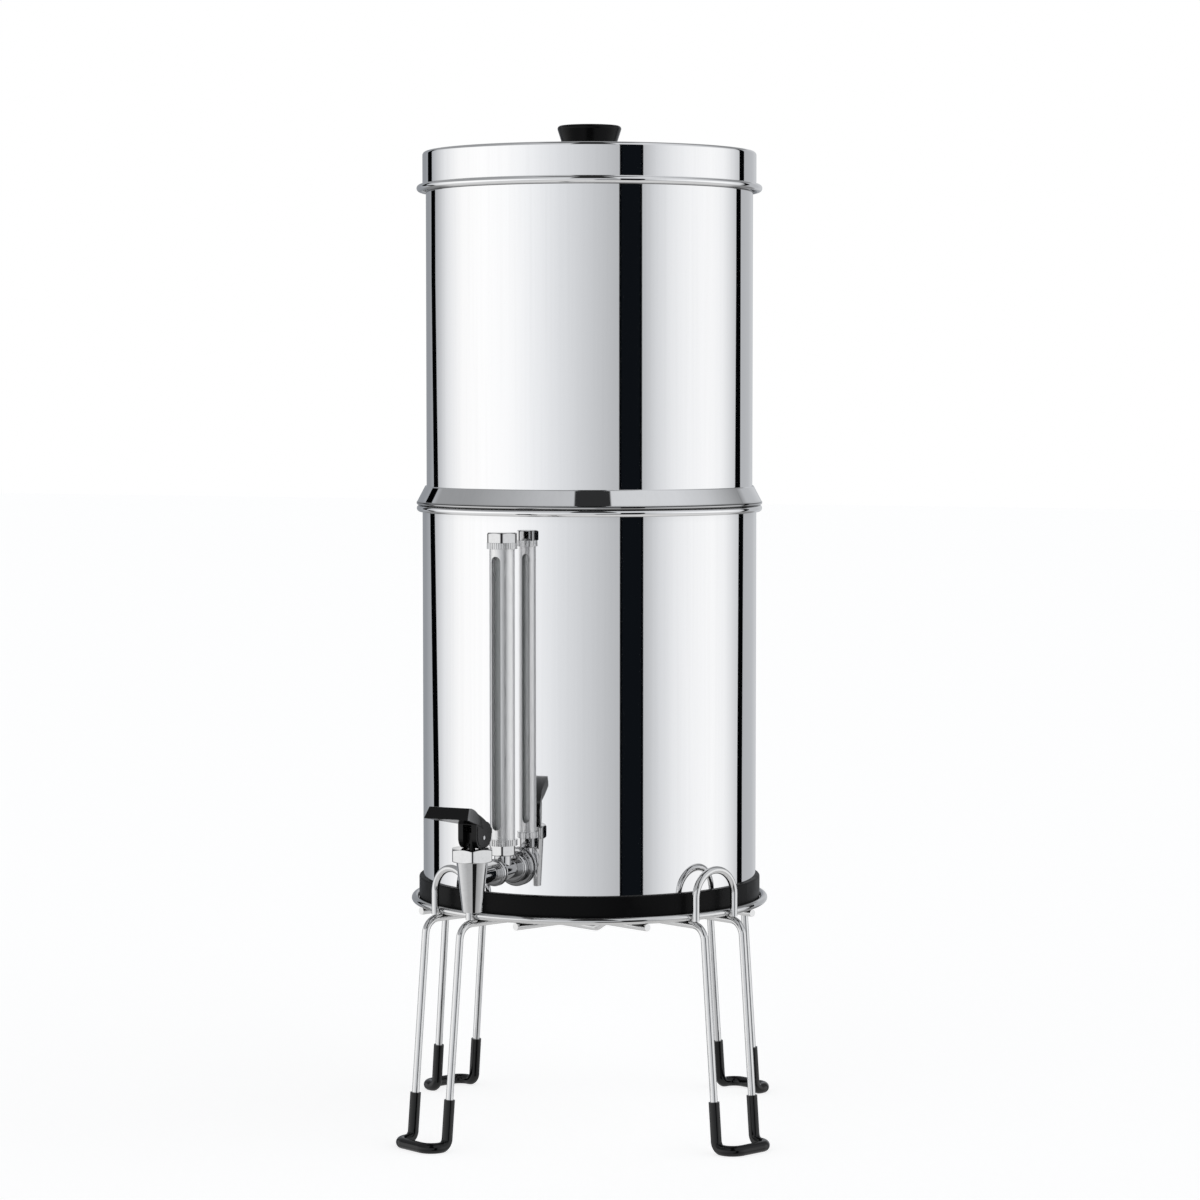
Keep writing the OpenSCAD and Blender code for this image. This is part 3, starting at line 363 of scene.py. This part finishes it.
def finish(name, effect, stretch, bump, relief, fixed, **values):
    mat = bpy.data.materials.new(name)
    mat.use_nodes = True
    t = Tree(mat.node_tree)
    shader = next(n for n in t.nodes if n.type == "BSDF_PRINCIPLED")
    place = t.add("ShaderNodeMapping")
    t.put(place.inputs[0], t.add("ShaderNodeTexCoord").outputs["Object"])
    place.inputs["Scale"].default_value = stretch
    g = t.add("ShaderNodeGroup", node_tree=effect)
    t.put(g.inputs["Place"], place.outputs[0])
    if name in shadePaintedSteels:
        # the edge attribute holds painted shade: crevice shade on the shells, dark reflection lines
        # on the nuts
        mark = t.add("ShaderNodeAttribute", attribute_name="edge")
        t.put(g.inputs["Edge"], mark.outputs["Fac"])
    if name == "teeSteel":
        # painted shade: the underside of the tap's arm darkens downwards between these heights
        split = t.add("ShaderNodeSeparateXYZ")
        t.put(split.inputs[0], t.add("ShaderNodeTexCoord").outputs["Object"])
        d = undersideShadeSet
        t.put(g.inputs["Edge"], t.range(split.outputs[2], d["from"], d["to"], 0.0, d["most"]))
    for key, v in values.items():
        g.inputs[key].default_value = v if key != "Colour" else tuple(v) + (1,)
    t.put(shader.inputs["Base Color"], g.outputs["Colour"])
    t.put(shader.inputs["Roughness"], g.outputs["Rough"])
    if bump:
        b = t.add("ShaderNodeBump")
        b.inputs["Strength"].default_value = bump
        b.inputs["Distance"].default_value = relief
        t.put(b.inputs["Height"], g.outputs["Height"])
        t.put(shader.inputs["Normal"], b.outputs[0])
    for key, v in fixed.items():
        shader.inputs[key].default_value = v
    return mat


steelSet = {
    "wireSteel": dict(stretch=(1, 1, 0.06), Colour=(0.76, 0.76, 0.76), Fineness=1400.0,
                      Lines=0.4, Cloud=0.25, Rough=0.09),
    "mirrorSteel": dict(stretch=(1, 1, 0.01), Colour=(0.90, 0.90, 0.905), Fineness=260.0,
                        Lines=0.2, Cloud=0.1, Rough=0.03),
    "tapSteel": dict(stretch=(1, 1, 1), Colour=(0.74, 0.74, 0.74), Fineness=500.0,
                     Lines=0.4, Cloud=0.4, Rough=0.05),
    # a darker copy of tapSteel for the tap's arm: painted shade
    "teeSteel": dict(stretch=(1, 1, 1), Colour=(0.62, 0.62, 0.625), Fineness=500.0,
                     Lines=0.4, Cloud=0.4, Rough=0.05),
    "guardSteel": dict(stretch=(1, 1, 0.08), Colour=(0.84, 0.84, 0.84), Fineness=1500.0,
                       Lines=0.3, Cloud=0.15, Rough=0.42),
    "springSteel": dict(stretch=(1, 1, 1), Colour=(0.75, 0.75, 0.75), Fineness=700.0,
                        Lines=0.4, Cloud=0.3, Rough=0.15),
    "pinSteel": dict(stretch=(0.1, 1, 1), Colour=(0.88, 0.88, 0.88), Fineness=900.0,
                     Lines=0.4, Cloud=0.2, Rough=0.1),
    "screwSteel": dict(stretch=(1, 1, 1), Colour=(0.72, 0.72, 0.72), Fineness=900.0,
                       Lines=0.6, Cloud=0.4, Rough=0.25),
}
rubberSet = {
    "sleeveRubber": dict(Colour=(0.004, 0.004, 0.0043), Grain=1400.0, Blotch=0.3, Rough=0.12,
                         spec=0.4),
    "ringRubber": dict(Colour=(0.0035, 0.0035, 0.0038), Grain=1800.0, Blotch=0.3, Rough=0.4,
                       spec=0.1),
    "gasketRubber": dict(Colour=(0.012, 0.012, 0.012), Grain=1800.0, Blotch=0.5, Rough=0.5,
                         spec=0.2),
    "whiteSilicone": dict(Colour=(0.8, 0.8, 0.78), Grain=1200.0, Blotch=0.2, Rough=0.42, spec=0.5),
    "leverPlastic": dict(Colour=(0.005, 0.005, 0.005), Grain=2600.0, Blotch=0.3, Rough=0.22,
                         spec=0.24),
    "knobPlastic": dict(Colour=(0.003, 0.003, 0.003), Grain=900.0, Blotch=0.2, Rough=0.24,
                        spec=0.14),
    "filterCeramic": dict(Colour=(0.80, 0.79, 0.75), Grain=700.0, Blotch=0.6, Rough=0.7, spec=0.3),
    "filterPlastic": dict(Colour=(0.018, 0.018, 0.02), Grain=1600.0, Blotch=0.5, Rough=0.4,
                          spec=0.4),
}
finishes = {}
for name, s in steelSet.items():
    values = {k: v for k, v in s.items() if k != "stretch"}
    bump = 0 if name in smoothSteels else lineBump
    finishes[name] = finish(name, drawnMetal, s["stretch"], bump, lineRelief, {"Metallic": 1.0},
                            **values)
for name, s in rubberSet.items():
    values = {k: v for k, v in s.items() if k != "spec"}
    finishes[name] = finish(name, mouldedSkin, (1, 1, 1), skinBump, skinRelief,
                            {"Specular IOR Level": s["spec"]}, **values)


glassSet = {
    "stretch": (1, 1, 0.3), "marks": 300, "marksFrom": 0.5, "marksTo": 0.8,
    "rough": (0.03, 0.12), "rimBlend": 0.35,
    "clear": (0.90, 0.92, 0.92, 1), "rim": (0.34, 0.38, 0.37, 1),
    "rimFrom": 0.25, "rimTo": 0.98, "solid": (0.42, 0.9),
}


def clearGlass(s):
    # clear tube with a faint green rim and water marks
    mat = bpy.data.materials.new("clearGlass")
    mat.use_nodes = True
    t = Tree(mat.node_tree)
    shader = next(n for n in t.nodes if n.type == "BSDF_PRINCIPLED")
    place = t.add("ShaderNodeMapping")
    t.put(place.inputs[0], t.add("ShaderNodeTexCoord").outputs["Object"])
    place.inputs["Scale"].default_value = s["stretch"]
    marks = t.add("ShaderNodeTexNoise")
    t.put(marks.inputs["Vector"], place.outputs[0])
    marks.inputs["Scale"].default_value = s["marks"]
    t.put(shader.inputs["Roughness"],
          t.range(marks.outputs[0], s["marksFrom"], s["marksTo"], *s["rough"]))
    rim = t.add("ShaderNodeLayerWeight")
    rim.inputs[0].default_value = s["rimBlend"]
    t.put(shader.inputs["Base Color"], t.mixColor(rim.outputs["Facing"], s["clear"], s["rim"]))
    t.put(shader.inputs["Alpha"],
          t.range(rim.outputs["Facing"], s["rimFrom"], s["rimTo"], *s["solid"]))
    return mat


finishes["clearGlass"] = clearGlass(glassSet)
finishes["polishedSteel"] = finishes["mirrorSteel"]


def slotMaterial(slot):
    words = slot.split("_")
    return finishes[words[0] + "".join(w.capitalize() for w in words[1:])]


bodyOf = {n: b for b, members in frame["record"]["behaviour"]["bodies"].items() for n in members}
slotOf = {p["node"]: p["material_slot"] for p in frame["record"]["subparts"]}
# nodes whose steel has a finish of its own: the guard tube's is rougher, and the tap's arm has a
# darker copy of the tap's steel, which is painted shade
ownFinish = {"gauge_guard_tube": "guardSteel", "tap_tee": "teeSteel",
             "tap_coupling_ring": "teeSteel", "tap_flange": "teeSteel", "tap_ring_nut": "teeSteel"}
for name, obj in nodes.items():
    obj.data.materials.clear()
    own = ownFinish.get(name)
    obj.data.materials.append(finishes[own] if own else slotMaterial(slotOf[name]))
print("finishes:", len(finishes))


# surfaces: a grid of points, each row a ring, turned into a mesh
def gridMesh(name, points, closed):
    # quads between neighbouring points; a closed form joins its last row to its first, and an
    # open one gets a face over each end
    rows, columns = points.shape[:2]
    a, b = np.meshgrid(np.arange(rows if closed else rows - 1), np.arange(columns), indexing="ij")
    nextR, nextC = (a + 1) % rows, (b + 1) % columns
    quads = np.stack([a * columns + b, a * columns + nextC,
                      nextR * columns + nextC, nextR * columns + b], -1)
    faces = [tuple(q) for q in quads.reshape(-1, 4).tolist()]
    if not closed:
        faces.append(tuple(range(columns - 1, -1, -1)))
        faces.append(tuple(range((rows - 1) * columns, rows * columns)))
    mesh = bpy.data.meshes.new(name)
    mesh.from_pydata(points.reshape(-1, 3).tolist(), [], faces)
    mesh.polygons.foreach_set("use_smooth", np.ones(len(mesh.polygons), bool))
    return mesh


def paintShadeAttribute(mesh, values):
    # how much painted shade each point gets, crevice shade or a dark reflection line, from 0 to 1
    mesh.attributes.new("edge", "FLOAT", "POINT").data.foreach_set("value", values)


def addPiece(name, mesh, body, slot, replaced=()):
    obj = bpy.data.objects.new(name, mesh)
    bpy.context.scene.collection.objects.link(obj)
    mesh.materials.append(slotMaterial(slot))
    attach(obj, body)
    if replaced:
        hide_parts(*replaced)
    return obj


def shadeEvenly(obj):
    obj.modifiers.new("evenShading", "WEIGHTED_NORMAL").keep_sharp = False


def arc(centre, radius, start, end, steps):
    # points on a circle of the profile's plane, angles in degrees from the outward direction
    a = np.radians(np.linspace(start, end, steps))
    return np.stack([centre[0] + radius * np.cos(a), centre[1] + radius * np.sin(a)], -1)


def spread(start, end, steps):
    return np.linspace(start, end, steps)


def sheetLoop(path, thick):
    # a sheet's section: its middle line moved by half the thickness to each side, ends joined
    along = np.gradient(path, axis=0)
    along /= np.linalg.norm(along, axis=1)[:, None]
    side = np.stack([along[:, 1], -along[:, 0]], -1) * thick / 2
    return np.concatenate([path + side, (path - side)[::-1]])


def shadeLinesAt(r, z, seams):
    # painted shade lines of the profile, fading with distance: place from (r, z), width, strength
    return [(r + out, z + up, width, strength) for out, up, width, strength in seams]


ringSteps = 320


def turned(name, section, closed, seams=()):
    # surface of revolution: a section carried round the Z axis; an open one ends in two small
    # discs at the axis
    a = np.linspace(0, 2 * np.pi, ringSteps, endpoint=False)
    points = np.empty((len(section), ringSteps, 3))
    points[..., 0] = section[:, :1] * np.cos(a)
    points[..., 1] = section[:, :1] * np.sin(a)
    points[..., 2] = section[:, 1:]
    mesh = gridMesh(name, points, closed)
    mark = np.zeros(len(section))
    for r, z, width, strength in seams:
        far = (section[:, 0] - r) ** 2 + (section[:, 1] - z) ** 2
        mark = np.maximum(mark, strength * np.exp(-far / width ** 2))
    paintShadeAttribute(mesh, np.repeat(mark, ringSteps))
    return mesh


# the three pressed shells, redrawn with even rows so that their rolled edges reflect cleanly;
# a lead is the gap between a straight run's last point and the bend beside it
sheet = 0.0008     # thickness of the steel
axisHole = 0.0004  # a floor's middle line starts this far from the axis
lowerSet = {
    "curl": 0.0023, "corner": 0.006,
    "floorLead": 0.0005, "wallLead": 0.0008, "curlLead": 0.0004, "curlEnd": -158,
    # painted shade lines under the rolled edge and on its top
    "underSeams": [(0.0015, 0, 0.001, 0.7), (0.0004, 0.0004, 0.001, 0.8)],
    "topSeams": [(0.0016, 0, 0.0009, 1.0)],
}
lidSet = {
    "curl": 0.00235, "corner": 0.0022,
    "domeFoot": 0.0103,    # from the lid's wall
    "domeRise": 0.004,
    "domeLead": 0.0006, "cornerLead": 0.0003, "wallLead": 0.0006, "curlLead": 0.0012,
    "curlStart": 158, "curlEnd": -150,
    # painted shade lines under the lid's bead
    "seams": [(0.0016, 0, 0.0011, 0.8), (0.0004, 0.0004, 0.001, 0.9)],
    "fillet": 0.0005, "filletRoot": 0.6,  # root: height inside the wall, as a share of the curl
}
skirtSet = {
    "low": 0.0017, "edge": 0.0011, "clear": 0.00005,
    "kneeLead": 0.0002, "slopeIn": 0.0004, "slopeUp": 0.0005, "topLead": 0.0001,
    # painted shade lines at the knee and under the lower edge
    "kneeSeams": [(0, 0, 0.00055, 1.0)], "underSeams": [(-0.0006, 0, 0.0009, 1.0)],
}


def addLowerVessel(s, t):
    low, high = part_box("lower_vessel")
    curl, corner = s["curl"], s["corner"]
    outer = high[0] - 2 * curl + t
    wall = outer - t / 2
    floor = low[2] + t / 2
    path = np.concatenate([
        spread((axisHole, floor), (outer - corner - s["floorLead"], floor), 12),
        arc((outer - corner, low[2] + corner), corner - t / 2, -90, 0, 14),
        spread((wall, low[2] + corner + s["wallLead"]), (wall, high[2] - curl - s["curlLead"]), 40),
        arc((outer - t + curl, high[2] - curl), curl - t / 2, 180, s["curlEnd"], 44)])
    seams = shadeLinesAt(outer, high[2] - 2 * curl, s["underSeams"])
    seams += shadeLinesAt(outer, high[2], s["topSeams"])
    addPiece("lowerShell", turned("lowerShell", sheetLoop(path, t), False, seams),
             "lower_vessel_group", "polished_steel", ["lower_vessel"])


def addLid(s, t):
    low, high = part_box("lid")
    curl, corner = s["curl"], s["corner"]
    outer = high[0] - 2 * curl + t
    wall, top = outer - t / 2, high[2] - s["domeRise"]
    beadR, beadZ = outer - t + curl, low[2] + curl
    foot = outer - s["domeFoot"]
    domeR = (foot ** 2 + s["domeRise"] ** 2) / (2 * s["domeRise"])
    reach = math.degrees(math.asin(foot / domeR))
    start = 90 - math.degrees(axisHole / domeR)
    path = np.concatenate([
        arc((0, high[2] - domeR), domeR - t / 2, start, 90 - reach, 40),
        spread((foot + s["domeLead"], top - t / 2),
               (outer - corner - s["cornerLead"], top - t / 2), 6),
        arc((outer - corner, top - corner), corner - t / 2, 90, 0, 16),
        spread((wall, top - corner - s["wallLead"]), (wall, beadZ + s["curlLead"]), 12),
        arc((beadR, beadZ), curl - t / 2, s["curlStart"], s["curlEnd"], 44)])
    # rolled so that the section starts and ends at the axis
    section = np.roll(sheetLoop(path[::-1], t), len(path), axis=0)
    seams = shadeLinesAt(outer, low[2], s["seams"])
    addPiece("lidShell", turned("lidShell", section, False, seams), "lid_group", "polished_steel",
             ["lid"])
    # soldered fillet between bead and wall: a quarter ring below a circle that touches both
    f = s["fillet"]
    x = outer + f
    z = beadZ + math.sqrt((curl + f) ** 2 - (beadR - x) ** 2)
    lean = math.degrees(math.atan2(beadZ - z, beadR - x))
    fillet = np.concatenate([arc((x, z), f, 180, 360 + lean, 12),
                             [(wall, beadZ + curl * s["filletRoot"])], [(wall, z)]])
    addPiece("lidFillet", turned("lidFillet", fillet[::-1], True), "lid_group", "polished_steel")


def addSkirt(s, t):
    low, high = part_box("locating_skirt")
    edge = s["edge"]
    wide = high[0]
    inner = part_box("upper_vessel")[1][0] + s["clear"]
    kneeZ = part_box("lower_vessel")[1][2] + s["low"]
    floor = low[2] + t / 2
    slope = math.degrees(math.atan2(high[2] - kneeZ, wide - inner - t))
    path = np.concatenate([
        [(inner + t / 2, floor)],
        spread((inner + t, floor), (wide - edge, floor), 8)[:-1],
        arc((wide - edge, low[2] + edge), edge - t / 2, -90, 0, 10),
        arc((wide - t, kneeZ - s["kneeLead"]), t / 2, 0, slope, 6),
        spread((wide - t / 2 - s["slopeIn"], kneeZ + s["slopeUp"]),
               (inner + t / 2 + s["topLead"], high[2] - t / 2), 16)])
    seams = shadeLinesAt(wide, kneeZ, s["kneeSeams"]) + shadeLinesAt(wide, low[2], s["underSeams"])
    addPiece("skirtShell", turned("skirtShell", sheetLoop(path, t), True, seams),
             "upper_vessel_group", "polished_steel", ["locating_skirt"])


# polished hexagon nuts with rounded corners, turned chamfers and edges darkened by painted
# reflection;
# chamfer: lower, upper; top: radius of the hole in the top, 0 where it is closed; then the half
# width of a corner's painted dark reflection line; below: the inside from the lower edge on;
# collar: radii of the ring that stands on the nut to the height called stem
nutSet = {
    "bonnet": {
        "name": "bonnetNut", "across": 0.0249, "height": 0.0082, "turn": -3,
        "chamfer": (0.0009, 0.0009), "top": 0.00208, "burnish": 0.00042,
        "below": [(0.0086, 0), (0.0086, 0.0045), (0.00208, 0.0045)]},
    "gauge_base": {
        "name": "gaugeBaseNut", "across": 0.016, "height": 0.0064, "turn": -6,
        "chamfer": (0.0009, 0.0002), "top": 0.0063, "burnish": 0.0007,
        "stem": 0.0084, "collar": (0.0025, 0.0057, 0.0063),
        "below": [(0.0041, 0), (0.0041, 0.003), (0.0025, 0.003)]},
    "gauge_cap": {
        "name": "gaugeCapNut", "across": 0.0184, "height": 0.0064, "turn": -6,
        "chamfer": (0.0002, 0.0009), "top": 0, "burnish": 0.0009,
        "below": [(0.0064, 0), (0.0064, -0.0084), (0.0057, -0.0084), (0.0057, -0.0004)]},
}
nutForm = {
    "steps": 288, "crispness": 34, "blend": 90.0,   # the higher, the sharper
    "axis": 0.0001, "seat": 0.0001, "rimIn": 0.0001, "rimDown": 0.00005, "sideLead": 0.0002,
    "beyond": 1.02,        # the turned cone leaves the corners alone
    "meetWidth": 0.00022, "meetDark": 0.8, "rimDark": 0.7,
}


def hexRadius(angles, across, turn, crispness):
    # distance to a hexagon with rounded corners: a high power mean of the pulls of its six sides
    sides = np.radians(turn + 30 + 60 * np.arange(6))
    pull = np.clip(np.cos(angles[:, None] - sides), 0, None) ** crispness
    return across / 2 / pull.sum(1) ** (1 / crispness)


def addNut(node, s, f):
    low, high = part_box(node)
    base = low[2] if "stem" in s else high[2] - s["height"]
    centre = [(low[i] + high[i]) / 2 for i in (0, 1)]
    corner = s["across"] / math.sqrt(3)
    lowCut, highCut = s["chamfer"]
    top = base + s["height"]
    # the turned outline: radius and height, from the upper rim down to the lower one
    side = [(corner - 2 * highCut, top), (corner - 2 * highCut + f["rimIn"], top - f["rimDown"])]
    side += [(corner - 2 * highCut * (1 - k), top - highCut * k) for k in np.linspace(0.1, 1, 8)]
    side += [(corner * f["beyond"], z) for z in np.linspace(
        top - highCut - f["sideLead"], base + lowCut + f["sideLead"], 6)]
    side += [(corner - 2 * lowCut * k, base + lowCut * (1 - k)) for k in np.linspace(0, 0.9, 8)]
    side += [(corner - 2 * lowCut + f["rimIn"], base + f["rimDown"]), (corner - 2 * lowCut, base)]
    inside = [(r, base + z) for r, z in s["below"]]
    if "stem" in s:
        bore, ringIn, ringOut = s["collar"]
        seat, up = top + f["seat"], top + s["stem"]
        inside += [(bore, seat), (ringIn, seat), (ringIn, up), (ringOut, up), (ringOut, top)]
    elif s["top"]:
        inside += [(s["top"], top)]
    else:
        inside += [(f["axis"], inside[-1][1])]
        side.insert(0, (f["axis"], top))
    angles = np.linspace(0, 2 * np.pi, f["steps"], endpoint=False)
    hexagon = hexRadius(angles, s["across"], s["turn"], f["crispness"])[None]
    cone = np.array([r for r, z in side])[:, None]
    # the lesser of hexagon and cone, blended where they meet
    least = np.minimum(hexagon, cone)
    outer = least * ((hexagon / least) ** -f["blend"] + (cone / least) ** -f["blend"]) ** (
        -1 / f["blend"])
    hidden = np.repeat(np.array([[r] for r, z in inside]), len(angles), 1)
    radius = np.concatenate([outer, hidden])
    height = np.array([z for r, z in side + inside])
    points = np.stack([centre[0] + radius * np.cos(angles), centre[1] + radius * np.sin(angles),
                       np.repeat(height[:, None], len(angles), 1)], -1)
    # painted dark reflection lines: on the upright corners, where chamfer meets side, and round the
    # two rims
    away = np.abs((np.degrees(angles) - s["turn"] + 30) % 60 - 30)
    upright = np.exp(-(np.radians(away) * corner / s["burnish"]) ** 4)[None]
    meeting = np.exp(-((cone - hexagon) / f["meetWidth"]) ** 2) * f["meetDark"]
    rim = np.array([z in (top, base) for r, z in side])[:, None] * f["rimDark"]
    mark = np.clip(np.maximum(np.maximum(upright, meeting), rim), 0, 1)
    mark = np.concatenate([mark, np.zeros((len(inside), len(angles)))])
    mesh = gridMesh(s["name"], points[::-1], s["top"] > 0)
    paintShadeAttribute(mesh, mark[::-1].ravel())
    shadeEvenly(addPiece(s["name"], mesh, bodyOf[node], slotOf[node], [node]))


# softened copies: the CAD solid with its flat faces joined again and its edges rounded over;
# name, width of the rounding, its segments
softSet = {
    "tap_inner_nut": ("innerNut", 0.0005, 3),
    "tap_lever": ("leverBody", 0.0007, 4),
    "gauge_ring_lower": ("lowerToothedRing", 0.00012, 2),
    "gauge_ring_upper": ("upperToothedRing", 0.00012, 2),
    "wing_nut_left": ("leftWingNut", 0.0006, 3),
    "wing_nut_right": ("rightWingNut", 0.0006, 3),
    "valve_stem": ("valveStemBody", 0.0003, 2),
}
weldDistance, flatAngle, edgeAngle = 2e-6, 0.6, 28  # metres, degrees, degrees


def addSoftened(node, name, width, segments):
    mesh = nodes[node].data.copy()
    mesh.materials.clear()
    b = bmesh.new()
    b.from_mesh(mesh)
    bmesh.ops.remove_doubles(b, verts=b.verts, dist=weldDistance)
    bmesh.ops.dissolve_limit(b, angle_limit=math.radians(flatAngle), verts=b.verts, edges=b.edges)
    bmesh.ops.recalc_face_normals(b, faces=b.faces)
    b.to_mesh(mesh)
    b.free()
    mesh.polygons.foreach_set("use_smooth", np.ones(len(mesh.polygons), bool))
    obj = addPiece(name, mesh, bodyOf[node], slotOf[node], [node])
    bevel = obj.modifiers.new("roundedEdges", "BEVEL")
    bevel.width, bevel.segments = width, segments
    bevel.limit_method, bevel.angle_limit = "ANGLE", math.radians(edgeAngle)
    bevel.use_clamp_overlap = True
    shadeEvenly(obj)


# the valve's spring: a round wire on a helix, wound close at both ends
springSet = {
    "wire": 0.0007, "turns": 6.5, "endTurns": 1.0,
    "endPace": 0.12,       # climb in the end turns, as a share of the climb between them
    "lift": 0.00165, "steps": 480, "round": 16,
}


def addSpring(s):
    low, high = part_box("valve_spring")
    centre = [(low[i] + high[i]) / 2 for i in (0, 1)]
    half = s["wire"] / 2
    coil = (high[0] - low[0]) / 2 - half
    bottom, top = low[2] + half, high[2] - half
    turn = np.linspace(0, 1, s["steps"]) * (s["turns"] + 2 * s["endTurns"])
    ends = np.clip(np.minimum(turn, turn[-1] - turn) / s["endTurns"], 0, 1)
    pace = s["endPace"] + ends ** 2 * (3 - 2 * ends)
    climb = np.concatenate([[0], np.cumsum((pace[1:] + pace[:-1]) / 2)])
    a = 2 * math.pi * turn
    path = np.stack([centre[0] + coil * np.cos(a), centre[1] + coil * np.sin(a),
                     bottom + (top - bottom) * climb / climb[-1]], -1)
    along = np.gradient(path, axis=0)
    along /= np.linalg.norm(along, axis=1)[:, None]
    out = np.stack([np.cos(a), np.sin(a), np.zeros_like(a)], -1)
    over = np.cross(along, out)
    b = np.linspace(0, 2 * np.pi, s["round"], endpoint=False)[None, :, None]
    rings = path[:, None] + half * (np.cos(b) * out[:, None] + np.sin(b) * over[:, None])
    obj = addPiece("valveCoil", gridMesh("valveCoil", rings, False), "lower_vessel_group",
                   "spring_steel", ["valve_spring"])
    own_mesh(obj)


addLowerVessel(lowerSet, sheet)
addLid(lidSet, sheet)
addSkirt(skirtSet, sheet)
for node, values in nutSet.items():
    addNut(node, values, nutForm)
addSpring(springSet)
for node, values in softSet.items():
    addSoftened(node, *values)
print("pieces redrawn")
